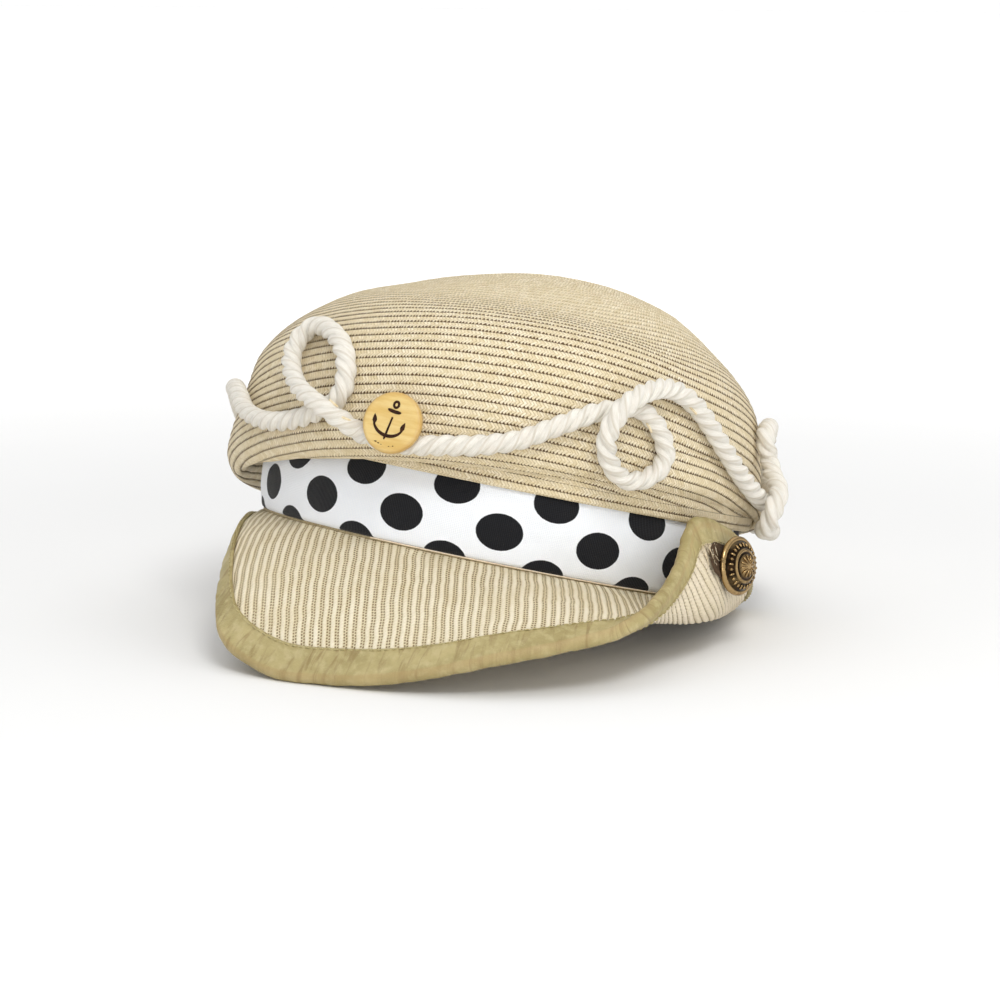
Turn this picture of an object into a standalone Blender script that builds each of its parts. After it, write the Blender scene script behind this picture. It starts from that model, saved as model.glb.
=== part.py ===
# Straw braid cap: puffy braid crown, dotted jersey band, ribbed peak with its
# right end turned up, leather binding, cream rope trim, wooden and brass buttons.
# Shapes are worked out in the hat's own frame (mm, origin on the plane of the
# band's lower rim, -Y to the front, +X to the viewer's right) and are then
# turned into the pose in which the hat rests on a table.
import bpy
import math
from mathutils import Vector, Matrix

for ob in list(bpy.data.objects):
    bpy.data.objects.remove(ob, do_unlink=True)

# ---------------------------------------------------------------- driving sizes
MM = 0.001
HEAD_A, HEAD_B = 88.0, 91.0        # inner half axes of the head opening
BAND_H = 33.0                      # height of the padded band
STRAW_T = 1.6                      # crown wall
PEAK_T = 2.4                       # peak wall
BIND_T = 1.1                       # leather wall
BIND_W = 14.0                      # depth of the leather fold on the top face
BIND_UNDER = 8.5                   # and on the lower face
BIND_GAP = 0.35                    # air between leather and straw
ROPE_D = 7.6                       # rope diameter
WOOD_D, WOOD_T = 22.5, 3.4         # wooden button
BRASS_D, BRASS_H = 22.0, 6.5       # brass dome
WOOD_AT = dict(deg=-20.6, v=6.0, lift=7.1, tilt=10.0)
BRASS_AT = dict(x=87.7, y=-74.2, z=15.5, turn=51.0, raise_deg=10.0, shank=3.1)
CROWN_COLS = 60
BAND_COLS = 60
REST_A, REST_B, REST_C = -22.744, 0.192, 0.1506   # table plane z = A + B x + C y

# ---------------------------------------------------------------- tables
# crown sections, hem to apex. cx cy: centre, a b: half axes,
# zf zr zb zl: height at front, right, back, left
CROWN = [
    # name        cx    cy     a      b      zf     zr     zb     zl
    ("hem",       0.0,  0.0,  95.4,  98.4,  28.0,  28.0,  28.0,  28.0),
    ("strip",     0.0,  0.0,  95.5,  98.5,  31.0,  30.8,  31.5,  31.5),
    ("crease",   -0.4,  0.0,  96.6,  99.6,  33.4,  33.2,  34.5,  34.5),
    ("under",    -0.9,  0.6,  97.3, 101.0,  33.6,  32.2,  15.0,  19.5),
    ("fold",     -3.2,  1.8, 100.9, 104.8,  35.0,  29.4,   3.0,   9.8),
    ("skirt",    -4.8,  2.6, 104.5, 108.4,  39.0,  32.2,   6.8,  15.0),
    ("low",      -5.2,  3.0, 104.5, 109.4,  46.0,  37.2,  17.5,  25.0),
    ("mid",      -5.4,  1.0, 101.6, 108.0,  56.0,  45.6,  34.0,  42.0),
    ("upper",    -5.3, -0.8,  98.8, 104.8,  67.0,  58.6,  50.0,  57.0),
    ("shoulder", -4.5, -3.0,  92.5,  98.5,  77.5,  72.0,  66.0,  68.5),
    ("brow",     -3.0, -5.0,  83.0,  89.0,  86.0,  82.0,  80.0,  79.0),
    ("rim",      -1.5, -7.0,  70.5,  77.0,  91.0,  91.0,  91.0,  88.5),
    ("top_low",   2.0, -6.0,  54.0,  60.0,  97.0, 100.0, 101.0,  96.5),
    ("top_mid",   6.0, -2.0,  38.0,  40.0, 104.0, 105.5, 106.5, 103.5),
    ("top_high",  8.0,  4.0,  18.0,  20.0, 109.2, 109.5, 109.8, 109.0),
    ("apex",      8.0,  8.0,   0.0,   0.0, 110.4, 110.4, 110.4, 110.4),
]
DENT = dict(x=26.0, y=-66.0, rx=46.0, ry=15.0, depth=2.2)   # shallow dent, top front

# band wall, out from the head opening: r outward, z up
BAND = [
    # name          r     z     (the belly is pressed flatter under the turned-up end)
    ("inner_low",  0.0,  0.0),
    ("inner_top",  0.0, BAND_H),
    ("top_out",    3.4, BAND_H),
    ("under_hem",  4.6, 29.0),
    ("shoulder",   6.0, 25.0),
    ("bulge",      7.2, 17.0),
    ("belly",      6.6,  8.0),
    ("low",        5.4,  2.6),
    ("rim_out",    4.2,  0.0),
]

# peak sections. root: angle on the band's lower rim (0 front, + to the right),
# edge: outline of the bound free edge, mid: the sheet half way out
PEAK = [
    # root   edge x    y      z      mid x    y      z
    ( -97.0, -95.5,    2.0,  -9.0,  -94.0,    7.0,  -5.0),
    ( -90.0, -95.0,  -12.0, -10.0,  -94.6,   -6.5,  -5.0),
    ( -80.0, -96.0,  -40.0, -15.0,  -95.0,  -29.0,  -7.0),
    ( -70.0, -96.0,  -61.0, -21.5,  -93.6,  -48.5, -10.0),
    ( -60.0, -95.5,  -79.0, -29.0,  -90.4,  -65.5, -13.5),
    ( -50.0, -94.0,  -95.0, -38.0,  -85.0,  -81.0, -18.0),
    ( -42.0, -90.5, -106.5, -45.5,  -78.5,  -91.5, -21.5),
    ( -34.0, -82.0, -115.5, -50.5,  -69.0, -100.5, -24.0),
    ( -26.0, -68.0, -125.0, -53.5,  -56.5, -109.0, -25.0),
    ( -18.0, -50.0, -134.0, -51.5,  -41.0, -115.5, -23.5),
    ( -10.0, -31.0, -142.5, -47.0,  -24.5, -121.0, -21.0),
    (  -2.0, -13.0, -148.5, -40.5,   -8.5, -124.0, -17.5),
    (   6.0,   5.0, -151.0, -32.5,    7.2, -125.0, -13.5),
    (  14.0,  22.0, -150.0, -25.5,   22.5, -123.5, -10.5),
    (  22.0,  38.0, -145.0, -18.5,   37.5, -119.0,  -8.5),
    (  28.0,  46.6, -140.5, -14.0,   47.0, -115.0,  -7.8),
    (  33.5,  55.0, -129.5,  -6.3,   55.5, -111.0,  -8.0),
    (  38.5,  59.8, -119.5,   0.8,   61.8, -107.0,  -8.0),
    (  43.0,  62.8, -109.5,   8.0,   67.4, -102.5,  -7.2),
    (  47.0,  64.5, -101.5,  14.1,   72.0,  -98.0,  -5.8),
    (  50.5,  65.3,  -95.5,  19.0,   75.8,  -93.0,  -4.4),
    (  54.0,  65.3,  -90.0,  25.2,   79.4,  -87.5,  -2.8),
    (  57.5,  66.3,  -86.5,  30.3,   82.4,  -81.5,  -1.2),
    (  61.5,  70.5,  -80.5,  32.0,   85.3,  -74.5,   0.2),
    (  66.0,  76.0,  -71.5,  31.2,   88.0,  -65.0,   1.4),
    (  71.0,  81.8,  -60.0,  29.2,   90.4,  -55.0,   2.4),
    (  76.5,  87.8,  -45.5,  25.5,   93.2,  -43.5,   3.2),
    (  82.5,  92.8,  -29.0,  19.5,   95.6,  -28.0,   3.2),
    (  88.5,  96.2,  -12.0,  13.0,   96.8,  -11.5,   2.0),
    (  94.0,  97.0,    2.0,   8.0,   96.4,    3.6,   0.8),
]
PEAK_ACROSS = 8                    # quads from root to free edge
PEAK_BETWEEN = 2                   # columns per table row

# rope route on the crown. deg: 0 front, + to the right; v: crown section number;
# lift: rope centre above the braid (4.15 where it lies on the braid)
ROPE = [
    # deg      v     lift
    (-118.0, 6.10,  4.15),
    (-105.0, 6.62,  4.15),
    (-93.0, 6.98,  4.15),
    ( -82.0,  6.92,  4.15),
    ( -72.7,  6.70,  4.15),
    ( -62.1,  6.20,  4.15),
    ( -52.7,  5.89,  4.15),
    ( -45.4,  5.92,  4.15),
    ( -39.9,  6.17,  4.15),
    ( -36.3,  6.42,  4.15),    # under the crossing
    ( -34.8,  6.78,  4.15),
    ( -34.9,  7.16,  4.15),
    ( -36.1,  7.64,  4.15),
    ( -38.8,  8.08,  4.15),
    ( -43.4,  8.45,  4.15),
    ( -49.0,  8.67,  4.15),    # top of the left loop
    ( -52.4,  8.52,  4.15),
    ( -52.7,  8.11,  4.60),
    ( -51.5,  7.68,  5.40),
    ( -48.3,  7.24,  7.20),
    ( -43.1,  6.78,  9.80),
    ( -37.2,  6.46, 12.20),    # over the crossing
    ( -33.2,  6.20, 11.80),
    ( -30.5,  5.89,  8.20),
    ( -28.3,  5.57,  4.80),
    ( -25.0,  5.36,  4.15),    # under the wooden button
    ( -17.9,  5.18,  4.15),
    ( -10.2,  5.30,  4.15),
    (  -4.7,  5.44,  4.15),
    (   2.7,  5.94,  4.15),
    (   9.9,  6.73,  4.15),
    (  16.8,  7.38,  4.15),
    (  22.1,  7.70,  4.15),    # under the crossing
    (  26.1,  7.81,  4.15),
    (  29.6,  7.61,  4.15),
    (  32.3,  7.18,  4.15),
    (  33.1,  6.44,  4.15),    # front ring
    (  31.4,  5.58,  4.15),
    (  28.2,  4.97,  4.15),
    (  24.5,  4.90,  4.60),
    (  21.3,  5.34,  5.60),
    (  19.5,  6.08,  7.20),
    (  19.0,  6.75,  9.40),
    (  19.7,  7.32, 11.80),
    (  22.2,  7.84, 12.20),    # over the crossing
    (  27.5,  8.33,  9.60),
    (  34.6,  8.59,  5.20),
    (  40.6,  8.37,  4.15),
    (  50.8,  7.32,  4.15),
    (  56.2,  6.47,  4.15),
    (  62.5,  5.76,  4.15),
    (  68.0,  5.50,  4.15),    # under the crossing
    (  76.0,  6.00,  4.15),
    (  86.0,  6.50,  4.15),
    (  95.0,  7.00,  4.15),
    (99.5, 7.52,  4.15),
    (97.0, 8.12,  4.15),
    (89.0, 8.52,  4.15),    # top of the right loop
    (80.0, 8.50,  4.15),
    (72.6, 8.18,  4.15),
    (73.0, 7.60,  5.00),
    (  70.2,  6.94,  7.80),
    (  65.2,  6.02, 11.60),
    (  63.0,  5.30, 12.10),    # over the crossing
    (  64.5,  4.75, 11.50),
    (  69.0,  4.45,  8.60),
    (  77.0,  4.50,  5.40),
    (  88.0,  4.70,  4.15),
    ( 102.0,  5.30,  4.15),
    ( 118.0,  6.00,  4.15),
    ( 134.0,  6.90,  4.15),
    ( 148.0,  7.60,  4.15),
    ( 158.0,  7.80,  4.15),    # back, under the crossing
    ( 167.0,  7.45,  4.15),
    ( 172.0,  6.75,  4.15),
    ( 170.0,  6.10,  4.15),
    ( 163.0,  5.95,  4.60),
    ( 157.0,  6.40,  7.60),
    ( 155.5,  7.10, 11.00),
    ( 158.0,  7.75, 12.30),    # over the crossing
    ( 165.0,  8.35,  9.00),
    ( 174.0,  8.65,  4.80),
    ( 184.0,  8.30,  4.15),
    ( 194.0,  7.50,  4.15),
    ( 206.0,  6.60,  4.15),
    ( 218.0,  6.20,  4.15),
    ( 230.0,  6.30,  4.15),
]


# ---------------------------------------------------------------- small helpers
def spline(keys, rows, t):
    """Catmull-Rom through rows (lists) at increasing keys."""
    n = len(keys)
    if t <= keys[0]:
        return list(rows[0])
    if t >= keys[-1]:
        return list(rows[-1])
    i = max(k for k in range(n - 1) if keys[k] <= t)
    h = keys[i + 1] - keys[i]
    s = (t - keys[i]) / h
    out = []
    for c in range(len(rows[0])):
        p1, p2 = rows[i][c], rows[i + 1][c]
        m1 = (p2 - rows[i - 1][c]) / (keys[i + 1] - keys[i - 1]) if i > 0 else (p2 - p1) / h
        m2 = (rows[i + 2][c] - p1) / (keys[i + 2] - keys[i]) if i + 2 < n else (p2 - p1) / h
        s2, s3 = s * s, s * s * s
        out.append((2 * s3 - 3 * s2 + 1) * p1 + (s3 - 2 * s2 + s) * h * m1
                   + (-2 * s3 + 3 * s2) * p2 + (s3 - s2) * h * m2)
    return out


CROWN_KEYS = [float(i) for i in range(len(CROWN))]
CROWN_ROWS = [list(row[1:]) for row in CROWN]


def crown_point(theta, v):
    """Outer face of the crown. theta in radians, v = section number."""
    cx, cy, a, b, zf, zr, zb, zl = spline(CROWN_KEYS, CROWN_ROWS, v)
    s, c = math.sin(theta), math.cos(theta)
    mean = (zf + zr + zb + zl) / 4
    z = (mean + (zf - zb) / 2 * c + (zr - zl) / 2 * s
         + (zf + zb - zr - zl) / 4 * math.cos(2 * theta))
    x, y = cx + a * s, cy - b * c
    if v > 7.0:
        d = ((x - DENT["x"]) / DENT["rx"]) ** 2 + ((y - DENT["y"]) / DENT["ry"]) ** 2
        z -= DENT["depth"] * math.exp(-d)
    return Vector((x, y, z))


def crown_normal(theta, v):
    e = 0.02
    du = crown_point(theta + e, v) - crown_point(theta - e, v)
    lo, hi = max(0.0, v - 0.05), min(len(CROWN) - 1.0, v + 0.05)
    dv = crown_point(theta, hi) - crown_point(theta, lo)
    n = du.cross(dv)
    if n.length < 1e-9:
        return Vector((0, 0, 1))
    return n.normalized()


PEAK_KEYS = [row[0] for row in PEAK]
PEAK_ROWS = [list(row[1:]) for row in PEAK]


def press(theta):
    """1 where the turned-up end of the peak presses on the band, else 0."""
    d = math.degrees(math.atan2(math.sin(theta), math.cos(theta)))
    lo = min(1.0, max(0.0, (d - 42.0) / 24.0))
    hi = min(1.0, max(0.0, (118.0 - d) / 22.0))
    t = min(lo, hi)
    return t * t * (3 - 2 * t)


def rim_point(theta, r, z):
    """Point of the band wall: r out from the head opening."""
    s, c = math.sin(theta), math.cos(theta)
    return Vector(((HEAD_A + r) * s, -(HEAD_B + r) * c, z))


def peak_point(deg, v):
    """Middle surface of the peak. v 0 at the root, 1 at the bound outline."""
    ex, ey, ez, mx, my, mz = spline(PEAK_KEYS, PEAK_ROWS, deg)
    root = rim_point(math.radians(deg), 2.8, -0.4 - PEAK_T / 2)
    edge, mid = Vector((ex, ey, ez)), Vector((mx, my, mz))
    ctrl = mid * 2 - (root + edge) / 2
    return root * (1 - v) ** 2 + ctrl * (2 * v * (1 - v)) + edge * (v * v)


def peak_normal(deg, v):
    """Points up in front, to the band on the turned-up side."""
    d0, d1 = max(PEAK_KEYS[0], deg - 0.8), min(PEAK_KEYS[-1], deg + 0.8)
    v0, v1 = max(0.0, v - 0.02), min(1.0, v + 0.02)
    du = peak_point(d1, v) - peak_point(d0, v)
    dv = peak_point(deg, v1) - peak_point(deg, v0)
    return du.cross(dv).normalized() * -1.0


def peak_length(deg):
    pts = [peak_point(deg, i / 12) for i in range(13)]
    return sum((pts[i + 1] - pts[i]).length for i in range(12))


# ---------------------------------------------------------------- mesh builders
def rest_matrix():
    n = Vector((-REST_B, -REST_C, 1.0)).normalized()
    ex = Vector((n.z, 0.0, -n.x)).normalized()
    ey = n.cross(ex)
    return Matrix((ex, ey, n)).to_4x4()


REST = rest_matrix()
PARTS = []


def material(name, rgba, rough, metal=0.0):
    m = bpy.data.materials.new(name)
    m.use_nodes = True
    bs = m.node_tree.nodes["Principled BSDF"]
    bs.inputs["Base Color"].default_value = rgba
    bs.inputs["Roughness"].default_value = rough
    bs.inputs["Metallic"].default_value = metal
    m.diffuse_color = rgba
    return m


def add_mesh(name, verts, faces, mat, smooth=True):
    me = bpy.data.meshes.new(name)
    me.from_pydata([tuple(REST @ v * MM) for v in verts], [], faces)
    me.validate()
    me.update()
    for p in me.polygons:
        p.use_smooth = smooth
    ob = bpy.data.objects.new(name, me)
    ob.data.materials.append(mat)
    bpy.context.scene.collection.objects.link(ob)
    PARTS.append(ob)
    return ob


def ring_faces(rows, cols, faces, flip=False, wrap_rows=False, wrap_cols=True):
    """Quads between successive rows of a grid stored row by row."""
    last = rows if wrap_rows else rows - 1
    for r in range(last):
        r2 = (r + 1) % rows
        for c in range(cols if wrap_cols else cols - 1):
            c2 = (c + 1) % cols
            q = (r * cols + c, r * cols + c2, r2 * cols + c2, r2 * cols + c)
            faces.append(q[::-1] if flip else q)


def build_crown(mat):
    outer_v = [0.0, 1.0, 2.0, 2.5, 3.0, 3.5, 4.0, 4.35, 4.7, 5.2, 6.0, 6.5, 7.0, 7.6,
               8.2, 8.8, 9.4, 10.0, 10.6, 11.3, 12.0, 12.8, 13.6, 14.3]
    inner_v = [14.2, 13.2, 12.0, 11.0, 10.0, 9.2, 8.4, 7.6, 6.8, 6.0, 5.4, 4.9, 4.0,
               3.0, 2.0, 1.0, 0.0]
    verts, faces = [], []
    n = CROWN_COLS
    for v in outer_v:
        for i in range(n):
            verts.append(crown_point(2 * math.pi * i / n, v))
    top = len(CROWN) - 1.0
    for v in inner_v:
        for i in range(n):
            th = 2 * math.pi * i / n
            if v in (4.0, 2.0):              # fold and crease: wall thickness straight up
                verts.append(crown_point(th, v) + Vector((0, 0, STRAW_T * 1.1)))
            else:
                lean = max(0.0, math.cos(th)) ** 6 if v == 3.0 else 0.0
                inward = (Vector((0, 0, 1.1)) * lean - crown_normal(th, v) * (1.0 - lean))
                verts.append(crown_point(th, v) + inward * STRAW_T)
    no, ni = len(outer_v), len(inner_v)
    for r in range(no - 1):
        for c in range(n):
            c2 = (c + 1) % n
            faces.append((r * n + c, r * n + c2, (r + 1) * n + c2, (r + 1) * n + c))
    for r in range(no, no + ni - 1):
        for c in range(n):
            c2 = (c + 1) % n
            faces.append((r * n + c, r * n + c2, (r + 1) * n + c2, (r + 1) * n + c))
    a = (no + ni - 1) * n
    for c in range(n):                       # lower hem
        c2 = (c + 1) % n
        faces.append((a + c, a + c2, c2, c))
    verts.append(crown_point(0.0, top))
    verts.append(crown_point(0.0, top) - Vector((0, 0, STRAW_T)))
    t_out, t_in = len(verts) - 2, len(verts) - 1
    r = (no - 1) * n
    for c in range(n):
        faces.append((r + c, r + (c + 1) % n, t_out))
    r = no * n
    for c in range(n):
        faces.append((r + (c + 1) % n, r + c, t_in))
    return add_mesh("crown", verts, faces, mat)


def build_band(mat):
    verts, faces = [], []
    n = BAND_COLS
    for name, r, z in BAND:
        for i in range(n):
            th = 2 * math.pi * i / n
            squeeze = 1.0 - 0.38 * press(th) if 0.0 < z < BAND_H and r > 3.5 else 1.0
            verts.append(rim_point(th, r * squeeze, z))
    ring_faces(len(BAND), n, faces, flip=True, wrap_rows=True)
    return add_mesh("band", verts, faces, mat)


def peak_stations():
    out = []
    for i in range(len(PEAK) - 1):
        for k in range(PEAK_BETWEEN):
            out.append(PEAK_KEYS[i] + (PEAK_KEYS[i + 1] - PEAK_KEYS[i]) * k / PEAK_BETWEEN)
    out.append(PEAK_KEYS[-1])
    return out


def straw_edge(deg):
    """v at which the straw sheet ends inside the leather fold."""
    return 1.0 - (2 * BIND_GAP + PEAK_T / 2 + BIND_T) / peak_length(deg)


def build_peak(mat):
    verts, faces = [], []
    st = peak_stations()
    m = PEAK_ACROSS + 1
    for side in (0.5, -0.5):
        for deg in st:
            ve = straw_edge(deg)
            for j in range(m):
                v = ve * j / PEAK_ACROSS
                verts.append(peak_point(deg, v) + peak_normal(deg, v) * PEAK_T * side)
    n = len(st)
    half = n * m
    for i in range(n - 1):
        for j in range(m - 1):
            a, b, c, d = i * m + j, (i + 1) * m + j, (i + 1) * m + j + 1, i * m + j + 1
            faces.append((d, c, b, a))
            faces.append((a + half, b + half, c + half, d + half))
    for i in range(n - 1):                    # root edge and free edge
        a, b = i * m, (i + 1) * m
        faces.append((a, b, b + half, a + half))
        a, b = i * m + m - 1, (i + 1) * m + m - 1
        faces.append((b, a, a + half, b + half))
    for j in range(m - 1):                    # two ends
        faces.append((j + 1, j, j + half, j + 1 + half))
        a = (n - 1) * m
        faces.append((a + j, a + j + 1, a + j + 1 + half, a + j + half))
    return add_mesh("peak", verts, faces, mat)


def binding_section(deg):
    """Closed section of the leather fold round the free edge at one station."""
    length = peak_length(deg)
    depth = {1: min(BIND_W, 0.6 * length), -1: min(BIND_UNDER, 0.6 * length)}
    h_in = PEAK_T / 2 + BIND_GAP
    h_out = h_in + BIND_T
    v_nose = 1.0 - h_out / length              # centre of the rounded nose
    centre = peak_point(deg, v_nose)
    out = (peak_point(deg, 1.0) - centre).normalized()
    up = peak_normal(deg, v_nose)
    steps = [1.0, 0.66, 0.33, 0.0]
    pts = []

    def wall(h, side, s):
        v = v_nose - (depth[side] - h_out) * s / length
        return peak_point(deg, v) + peak_normal(deg, v) * h * side

    for s in steps:
        pts.append(wall(h_out, 1, s))
    for ang in (50, 0, -50):
        a = math.radians(ang)
        pts.append(centre + out * (h_out * math.cos(a)) + up * (h_out * math.sin(a)))
    for s in reversed(steps):
        pts.append(wall(h_out, -1, s))
    for s in steps:
        pts.append(wall(h_in, -1, s))
    pts.append(centre + out * (h_in * 0.75) - up * h_in * 0.95)
    pts.append(centre + out * (h_in * 0.75) + up * h_in * 0.95)
    for s in reversed(steps):
        pts.append(wall(h_in, 1, s))
    return pts


def build_binding(mat):
    st = peak_stations()
    verts, faces = [], []
    m = len(binding_section(0.0))
    for deg in st:
        verts += binding_section(deg)
    n = len(st)
    for i in range(n - 1):
        for j in range(m):
            j2 = (j + 1) % m
            faces.append((i * m + j, i * m + j2, (i + 1) * m + j2, (i + 1) * m + j))
    # end caps as a strip between the outer and the inner chain of the section
    k_out = list(range(0, 11))
    k_in = list(range(m - 1, 10, -1))
    for base, flip in ((0, False), ((n - 1) * m, True)):
        a, b = 0, 0
        while a < len(k_out) - 1 or b < len(k_in) - 1:
            if b == len(k_in) - 1 or (a < len(k_out) - 1 and (a + 1) / len(k_out) <= (b + 1) / len(k_in)):
                tri = (base + k_out[a], base + k_in[b], base + k_out[a + 1])
                a += 1
            else:
                tri = (base + k_out[a], base + k_in[b], base + k_in[b + 1])
                b += 1
            faces.append(tri[::-1] if flip else tri)
    return add_mesh("peak_binding", verts, faces, mat)


def rope_centre():
    base = [crown_point(math.radians(deg), v) for deg, v, lift in ROPE]
    n, pts = len(base), []
    for i, (deg, v, lift) in enumerate(ROPE):
        step = max((base[i] - base[i - 1]).length, (base[(i + 1) % n] - base[i]).length)
        lift += step * step / 840.0          # straight runs stay clear of the round crown
        pts.append(base[i] + crown_normal(math.radians(deg), v) * lift)
    return pts


def build_rope(mat):
    """Round tube along the closed rope route, frames carried along the route."""
    pts = rope_centre()
    n, sides, r = len(pts), 8, ROPE_D / 2
    tang = [(pts[(i + 1) % n] - pts[i - 1]).normalized() for i in range(n)]
    ref = Vector((0, 0, 1))
    ref = (ref - tang[0] * ref.dot(tang[0])).normalized()
    frames = []
    for i in range(n):
        ref = (ref - tang[i] * ref.dot(tang[i])).normalized()
        frames.append(ref.copy())
    end = (ref - tang[0] * ref.dot(tang[0])).normalized()
    twist = math.atan2(tang[0].dot(end.cross(frames[0])), end.dot(frames[0]))
    verts, faces = [], []
    for i in range(n):
        turn = twist * i / n
        u = frames[i]
        w = tang[i].cross(u)
        for k in range(sides):
            a = 2 * math.pi * k / sides + turn
            verts.append(pts[i] + u * (r * math.cos(a)) + w * (r * math.sin(a)))
    for i in range(n):
        i2 = (i + 1) % n
        for k in range(sides):
            k2 = (k + 1) % sides
            faces.append((i * sides + k, i * sides + k2, i2 * sides + k2, i2 * sides + k))
    return add_mesh("rope_trim", verts, faces, mat)


def build_turned(name, centre, axis, profile, sides, mat):
    """Turned solid: profile rows (radius, height along axis), poles closed."""
    axis = axis.normalized()
    ux = axis.orthogonal().normalized()
    uy = axis.cross(ux)
    verts, faces = [], []
    for r, h in profile:
        for k in range(sides):
            a = 2 * math.pi * k / sides
            verts.append(centre + ux * (r * math.cos(a)) + uy * (r * math.sin(a)) + axis * h)
    n = len(profile)
    ring_faces(n, sides, faces)
    verts.append(centre + axis * profile[0][1])
    verts.append(centre + axis * profile[-1][1])
    lo, hi = len(verts) - 2, len(verts) - 1
    for k in range(sides):
        k2 = (k + 1) % sides
        faces.append((k2, k, lo))
        faces.append(((n - 1) * sides + k, (n - 1) * sides + k2, hi))
    return add_mesh(name, verts, faces, mat)


def build_wood_button(mat):
    th = math.radians(WOOD_AT["deg"])
    base = crown_point(th, WOOD_AT["v"])
    nrm = crown_normal(th, WOOD_AT["v"])
    axis = (nrm + Vector((0, 0, math.tan(math.radians(WOOD_AT["tilt"]))))).normalized()
    centre = base + nrm * WOOD_AT["lift"]
    r, t = WOOD_D / 2, WOOD_T
    profile = [(r - 0.9, 0.0), (r, 0.9), (r, t - 1.0), (r - 0.35, t - 0.35), (r - 1.0, t)]
    return build_turned("wood_button", centre, axis, profile, 32, mat)


def build_brass_button(mat):
    centre = Vector((BRASS_AT["x"], BRASS_AT["y"], BRASS_AT["z"]))
    az, el = math.radians(BRASS_AT["turn"]), math.radians(BRASS_AT["raise_deg"])
    axis = Vector((math.sin(az) * math.cos(el), -math.cos(az) * math.cos(el), math.sin(el)))
    r, h = BRASS_D / 2, BRASS_H
    s = BRASS_AT["shank"]                    # shank down to the straw
    profile = [(1.7, -s), (2.0, -s + 0.3), (2.0, 0.0), (r - 0.8, 0.0), (r, 0.5), (r, 1.3), (r - 0.9, 1.8), (r * 0.84, 2.9),
               (r * 0.62, 4.7), (r * 0.36, 5.9), (r * 0.12, h)]
    return build_turned("brass_button", centre, axis, profile, 32, mat)


STRAW = material("straw_braid", (0.78, 0.66, 0.45, 1.0), 0.8)
RIBBED = material("ribbed_straw", (0.76, 0.66, 0.47, 1.0), 0.8)
JERSEY = material("white_jersey", (0.86, 0.87, 0.9, 1.0), 0.9)
LEATHER = material("olive_leather", (0.5, 0.45, 0.2, 1.0), 0.6)

crown = build_crown(STRAW)
band = build_band(JERSEY)
peak = build_peak(RIBBED)
binding = build_binding(LEATHER)
ROPE_MAT = material("cotton_rope", (0.85, 0.82, 0.76, 1.0), 0.9)
WOOD = material("button_wood", (0.75, 0.52, 0.24, 1.0), 0.5)
BRASS = material("antique_brass", (0.5, 0.36, 0.17, 1.0), 0.35, 1.0)
rope = build_rope(ROPE_MAT)
wood = build_wood_button(WOOD)
brass = build_brass_button(BRASS)

# bounding box centre on the origin, lowest point on the table
SHIFT = Vector((0, 0, 0))
lo = Vector((1e9, 1e9, 1e9))
hi = Vector((-1e9, -1e9, -1e9))
for ob in PARTS:
    for v in ob.data.vertices:
        for k in range(3):
            lo[k] = min(lo[k], v.co[k])
            hi[k] = max(hi[k], v.co[k])
SHIFT = Vector((-(lo.x + hi.x) / 2, -(lo.y + hi.y) / 2, -lo.z))
for ob in PARTS:
    ob.data.transform(Matrix.Translation(SHIFT))
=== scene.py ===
# Looks of the straw braid cap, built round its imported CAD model.
# Shapes are worked out in the hat's own frame (mm, origin on the plane of the
# band's lower rim, -Y front, +X viewer's right) and are then turned into the pose
# in which the hat rests.
import bpy
import bmesh
import math
import numpy as np
from mathutils import Vector, Matrix

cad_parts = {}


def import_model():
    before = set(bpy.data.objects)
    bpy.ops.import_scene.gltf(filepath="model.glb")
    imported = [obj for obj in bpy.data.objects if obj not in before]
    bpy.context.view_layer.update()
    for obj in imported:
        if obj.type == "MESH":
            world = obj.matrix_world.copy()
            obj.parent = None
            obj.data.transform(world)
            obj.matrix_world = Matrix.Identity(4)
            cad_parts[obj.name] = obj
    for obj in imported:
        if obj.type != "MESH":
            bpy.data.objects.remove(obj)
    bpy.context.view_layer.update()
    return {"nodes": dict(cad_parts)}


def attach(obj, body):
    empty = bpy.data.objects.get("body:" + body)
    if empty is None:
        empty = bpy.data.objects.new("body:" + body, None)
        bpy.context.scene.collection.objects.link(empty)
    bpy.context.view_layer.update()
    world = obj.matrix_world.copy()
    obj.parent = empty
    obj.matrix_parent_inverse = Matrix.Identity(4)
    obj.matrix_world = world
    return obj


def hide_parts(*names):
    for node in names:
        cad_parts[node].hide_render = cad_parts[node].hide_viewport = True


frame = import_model()

# ---------------------------------------------------------------- sizes and tables
HEAD_A, HEAD_B, BAND_H = 88.0, 91.0, 33.0
STRAW_T, PEAK_T, BIND_T = 1.6, 2.4, 1.1
BIND_W, BIND_UNDER, BIND_GAP = 14.0, 8.5, 0.35
ROPE_D = 7.6
WOOD_D, WOOD_T = 22.5, 3.4
BRASS_D, BRASS_H = 22.0, 6.5
WOOD_AT = dict(deg=-20.6, v=6.0, lift=7.1, tilt=10.0)
BRASS_AT = dict(x=87.7, y=-74.2, z=15.5, turn=51.0, raise_deg=10.0, shank=3.1)
REST_B, REST_C = 0.192, 0.1506

ROW_PITCH = 3.45                    # braid row on the crown
PLAIT = 1.32                        # plait step along a row
RIB_PITCH = 3.16                    # cord to cord on the peak
RIB_UNDER_PITCH = 2.62              # the same on its lower face
ROW_CENTRE = (-9.0, 24.0)           # where the braid rows close on the top of the crown
ROPE_LAY = 18.2                     # one full twist of the rope

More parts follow.
